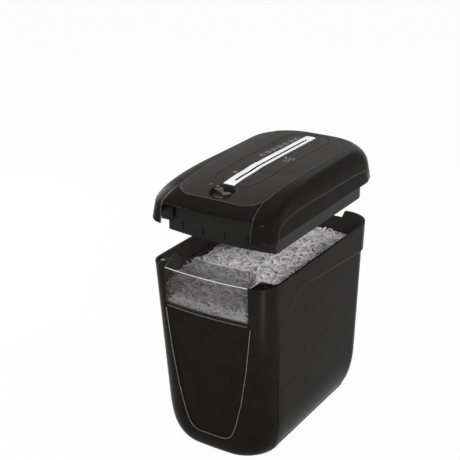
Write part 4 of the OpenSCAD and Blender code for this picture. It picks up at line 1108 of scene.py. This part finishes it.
def heap_z(x, y):
    """Height of the heap's surface, which falls a little towards the walls."""
    half, y0, y1, rf = bin_size(TOP)[:4]
    d = np.minimum(np.minimum(half - 8 - np.abs(x), y - front_y(x, half, y0, rf) - 8), y1 - 8 - y)
    corner = smooth(-50, -92, x) * smooth(-HALF_L + 62, -HALF_L + 26, y)
    front = smooth(-HALF_L + 44, -HALF_L + 12, y)
    return TOP - 1.5 - 9.5 * smooth(46, 2, d) - 24.0 * corner - 7.0 * front


def heap_ring(z, e):
    """Ring of the heap, e inside the bin's outline."""
    half, y0, y1, rf, rb = bin_size(z)
    half, y0, y1, rf, rb = half - e, y0 + e, y1 - e, max(rf - e, 4.0), max(rb - e, 4.0)
    marks = [("x", half - rf), ("y", y0 + rf + 0.5), ("y", y1 - rb - 0.5), ("b", half - rb)]
    return ring((half, y0, y1, rf, rb), marks, [14, 12, 30, 12, 14]).T


BELOW = TOP - 13  # top of the heap's walls
HP = []
for z in [4, 8, 14, 24, 40, 60, 110, 160, 210, 250, BELOW]:
    x, y = heap_ring(z, 9.0 + (5.0 if z < 10 else 0.0))
    HP.append(np.column_stack([x, y, np.minimum(float(z), heap_z(x, y) - 5.0 - (BELOW - z) * 0.1)]))
for e in (12, 18, 26, 38, 52, 70, 92):
    x, y = heap_ring(TOP, float(e))
    HP.append(np.column_stack([x, y, heap_z(x, y) - 4.0]))
HP = np.array(HP)
HP[:, :, 2] += rng.normal(0, 0.6, HP.shape[:2]) * (HP[:, :, 2] > 240)
HP[:, :, 1] += MID
nr, nc = HP.shape[:2]
fs = grid_faces(nr, nc, True) + [tuple(range(nc))[::-1], tuple(range((nr - 1) * nc, nr * nc))]
core = new_mesh("paper_heap", HP.reshape(-1, 3), fs, 180)
outward(core, (0, MID, 140))
# the heap's paper is a little greyer than the white strips: painted shade in the gaps between them
paint(core, [(0.86, 0.84, 0.84, 1.0)] * len(core.data.vertices))
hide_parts("shredded_paper")
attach(core, "bin")


# tints of the strips: red, blue and black with their rising shares, and two greys as a range and its hue
RARE = ((0.003, (0.42, 0.03, 0.05)), (0.0045, (0.10, 0.28, 0.72)), (0.012, (0.03, 0.025, 0.06)))
GREY_SHARE, GREY, WHITE = 0.10, (0.45, 0.65, 0.93, 0.95), (0.93, 0.985, 0.985, 0.985)


def strips(name, count, place, seed, low=6.0):
    """Loose curled strips, in mostly white tints, kept inside the bin."""
    g = np.random.default_rng(seed)
    segs = 6
    vs, fs, tint = [], [], []
    for _ in range(count):
        c, nrm = place(g)
        L = g.uniform(14, 30)
        w = g.uniform(2.2, 3.2) / 2
        yaw = g.uniform(0, 2 * math.pi)
        t = np.array([math.cos(yaw), math.sin(yaw), g.normal(0, 0.32)])
        t -= nrm * (t @ nrm) * 0.55
        t /= np.linalg.norm(t)
        s = np.cross(nrm, t)
        s /= np.linalg.norm(s) + 1e-9
        up = np.cross(t, s)
        roll = g.normal(0, 0.55)
        s, up = s * math.cos(roll) + up * math.sin(roll), up * math.cos(roll) - s * math.sin(roll)
        curl = g.normal(0, 1.0) * 1.3
        tw = g.normal(0, 0.7)
        base = len(vs)
        p = c - t * L / 2
        for k in range(segs + 1):
            u = k / segs
            a = curl * (u - 0.5)
            dr = t * math.cos(a) + up * math.sin(a)
            if k:
                p = p + dr * L / segs
            ss = s * math.cos(tw * u) + up * math.sin(tw * u)
            vs += [tuple(p - ss * w), tuple(p + ss * w)]
        fs += [(a, a + 1, a + 3, a + 2) for a in range(base, base + 2 * segs, 2)]
        r = g.random()
        cc = next((c for share, c in RARE if r < share), None)
        if cc is None:
            low_q, high_q, gr, bl = GREY if r < GREY_SHARE else WHITE
            q = g.uniform(low_q, high_q)
            cc = (q, q * gr, q * bl)
        tint += [(*cc, 1.0)] * (2 * (segs + 1))
    # keep every particle inside the bin and under the seated head
    x, y, z = np.array(vs).T
    half, y0, y1, rf, rb = bin_size(TOP)
    z = np.clip(z, low, TOP + 2.0)
    sunk = np.maximum(TOP - z, 0.0)
    room = half - 5.2 - SIDE_TAPER * sunk
    x = np.clip(x, -room, room)
    y = np.clip(y, front_y(x, half, y0, rf) + 5.4 + FRONT_RAKE * sunk, y1 - 5.0)
    for y_c, r, front in ((y1 - rb, rb, -1), (y0 + rf, rf, 1)):
        x_c = half - r
        dx, dy = np.abs(x) - x_c, (y_c - y) * front
        far = np.hypot(dx, dy)
        lim = r - 6.0 - max(SIDE_TAPER, FRONT_RAKE) * sunk
        out = (dx > 0) & (dy > 0) & (far > lim)
        k = np.where(out, lim / np.maximum(far, 1e-6), 1.0)
        x = np.where(out, np.sign(x) * (x_c + dx * k), x)
        y = np.where(out, y_c - front * dy * k, y)
    me = bpy.data.meshes.new(name)
    me.from_pydata(np.column_stack([x, y + MID, z]) * MM, [], fs)
    me.update()
    ob = linked(name, me)
    shade(ob, 180)
    paint(ob, tint)
    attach(ob, "bin")


def on_top(g):
    size = bin_size(TOP)
    half, y0, y1, rf, rb = size
    within = (half - 6, y0 + 6, y1 - 6, rf - 6, rb - 6)
    while True:
        x = g.uniform(-half + 7, half - 7)
        y = g.uniform(y0, y1 - 7)
        if y > front_at(x, size) + 7 and inside(within, x, y):
            break
    z = float(heap_z(x, y)) + g.uniform(-6.0, 2.5)
    return np.array([x, y, z]), np.array([0.0, 0.0, 1.0])


def at_window(g):
    x = g.uniform(-78, 78)
    top = min(float(heap_z(x, -HALF_L + 14.0)), TOP - 4)
    z = g.uniform(WIN_LOW - 4, top + 2)
    y = front_at(x, bin_size(z)) + g.uniform(5.5, 13)
    return np.array([x, y, z]), np.array([0.0, -1.0, 0.0])


strips("paper_particles", 5200, on_top, 11)
strips("paper_front", 620, at_window, 12, WIN_LOW - 2.0)

# -------------------- stage
SC = bpy.context.scene
SC.view_settings.view_transform = "Standard"


def seen(nt):
    """1 for camera rays and for rays off glossy or through clear faces, 0 for all others."""
    path = new_node(nt, "LightPath")
    value = path.outputs["Is Camera Ray"]
    for ray in ("Is Glossy Ray", "Is Transmission Ray"):
        most = new_node(nt, "Math")
        most.operation = "MAXIMUM"
        nt.links.new(value, most.inputs[0])
        nt.links.new(path.outputs[ray], most.inputs[1])
        value = most.outputs[0]
    return value


def blend(nt, fac, a, b, output):
    """Mix of two shaders, as the tree's output."""
    mix = new_node(nt, "MixShader")
    for socket, value in zip(mix.inputs, (fac, a.outputs[0], b.outputs[0])):
        nt.links.new(value, socket)
    nt.links.new(mix.outputs[0], new_node(nt, output).inputs["Surface"])


floor_me = bpy.data.meshes.new("floor")
FLOOR_HALF, FLOOR_Z = 6, -0.0005  # m
floor_me.from_pydata([(x, y, FLOOR_Z) for x, y in rect(-FLOOR_HALF, FLOOR_HALF, -FLOOR_HALF, FLOOR_HALF)],
                     [], [(0, 1, 2, 3)])
floor = linked("floor", floor_me)
floor_mat = bpy.data.materials.new("floor_pale")
floor_me.materials.append(floor_mat)
floor_mat.use_nodes = True
nt = floor_mat.node_tree
nt.nodes.clear()
dif = new_node(nt, "BsdfDiffuse", Color=(0.86, 0.86, 0.86, 1))
glow = new_node(nt, "Emission", Color=(1, 1, 1, 1), Strength=1.0)
share = new_node(nt, "Math")
share.operation = "MULTIPLY"
share.inputs[1].default_value = 0.95  # the rest shows the object's shadow
nt.links.new(seen(nt), share.inputs[0])
blend(nt, share.outputs[0], dif, glow, "OutputMaterial")

world = bpy.data.worlds.new("studio")
SC.world = world
world.use_nodes = True
nt = world.node_tree
nt.nodes.clear()
sky = new_node(nt, "Background", Color=(0.95, 0.97, 1.0, 1), Strength=0.40)
backdrop = new_node(nt, "Background", Color=(1, 1, 1, 1), Strength=1.0)
blend(nt, seen(nt), sky, backdrop, "OutputWorld")


def area(name, loc, target, size, power, size_y=None):
    d = bpy.data.lights.new(name, "AREA")
    d.energy = power
    d.shape = "RECTANGLE"
    d.size = size
    d.size_y = size_y or size
    o = linked(name, d)
    o.location = loc
    o.rotation_euler = (Vector(target) - Vector(loc)).to_track_quat("-Z", "Y").to_euler()
    return o


AIM = (0, 0, 0.3)
area("top_soft", (-0.1, -0.1, 1.9), AIM, 1.8, 7)
area("key_left", (-1.2, -1.3, 1.0), AIM, 0.9, 9)
area("side_left", (-1.4, 0.35, 0.85), AIM, 0.9, 9)
area("side_right", (1.3, 0.55, 0.85), AIM, 0.9, 3)
area("front_right", (1.2, -1.3, 1.1), (0.05, -0.05, 0.30), 0.4, 15, 0.5)
# low strip beside the bin, the soft highlight on the pillar and the cheek
low = area("low_strip", (0.70, -0.66, 0.03), (0.70, -0.66, 2.0), 0.9, 8, 0.13)
low.rotation_euler = (math.pi, 0.0, math.radians(-42.0))
low.visible_camera = False


# -------------------- camera
cam_d = bpy.data.cameras.new("camera")
cam = linked("camera", cam_d)
cam_d.sensor_width = 36.0
cam_d.lens = 85.01
cam_d.clip_end = 50
AZ, EL, ROLL = 0.5693, 0.3901, -0.007
EYE = (0.8611, (-1457.9 + MID) * MM, 1.0292 + (RIM - 318) * MM)
back = Vector((math.sin(AZ) * math.cos(EL), -math.cos(AZ) * math.cos(EL), math.sin(EL)))
r0 = Vector((math.cos(AZ), math.sin(AZ), 0))
u0 = back.cross(r0)
right = r0 * math.cos(ROLL) + u0 * math.sin(ROLL)
up = u0 * math.cos(ROLL) - r0 * math.sin(ROLL)
cam.matrix_world = Matrix([(right[i], up[i], back[i], EYE[i]) for i in range(3)] + [(0, 0, 0, 1)])
SC.camera = cam
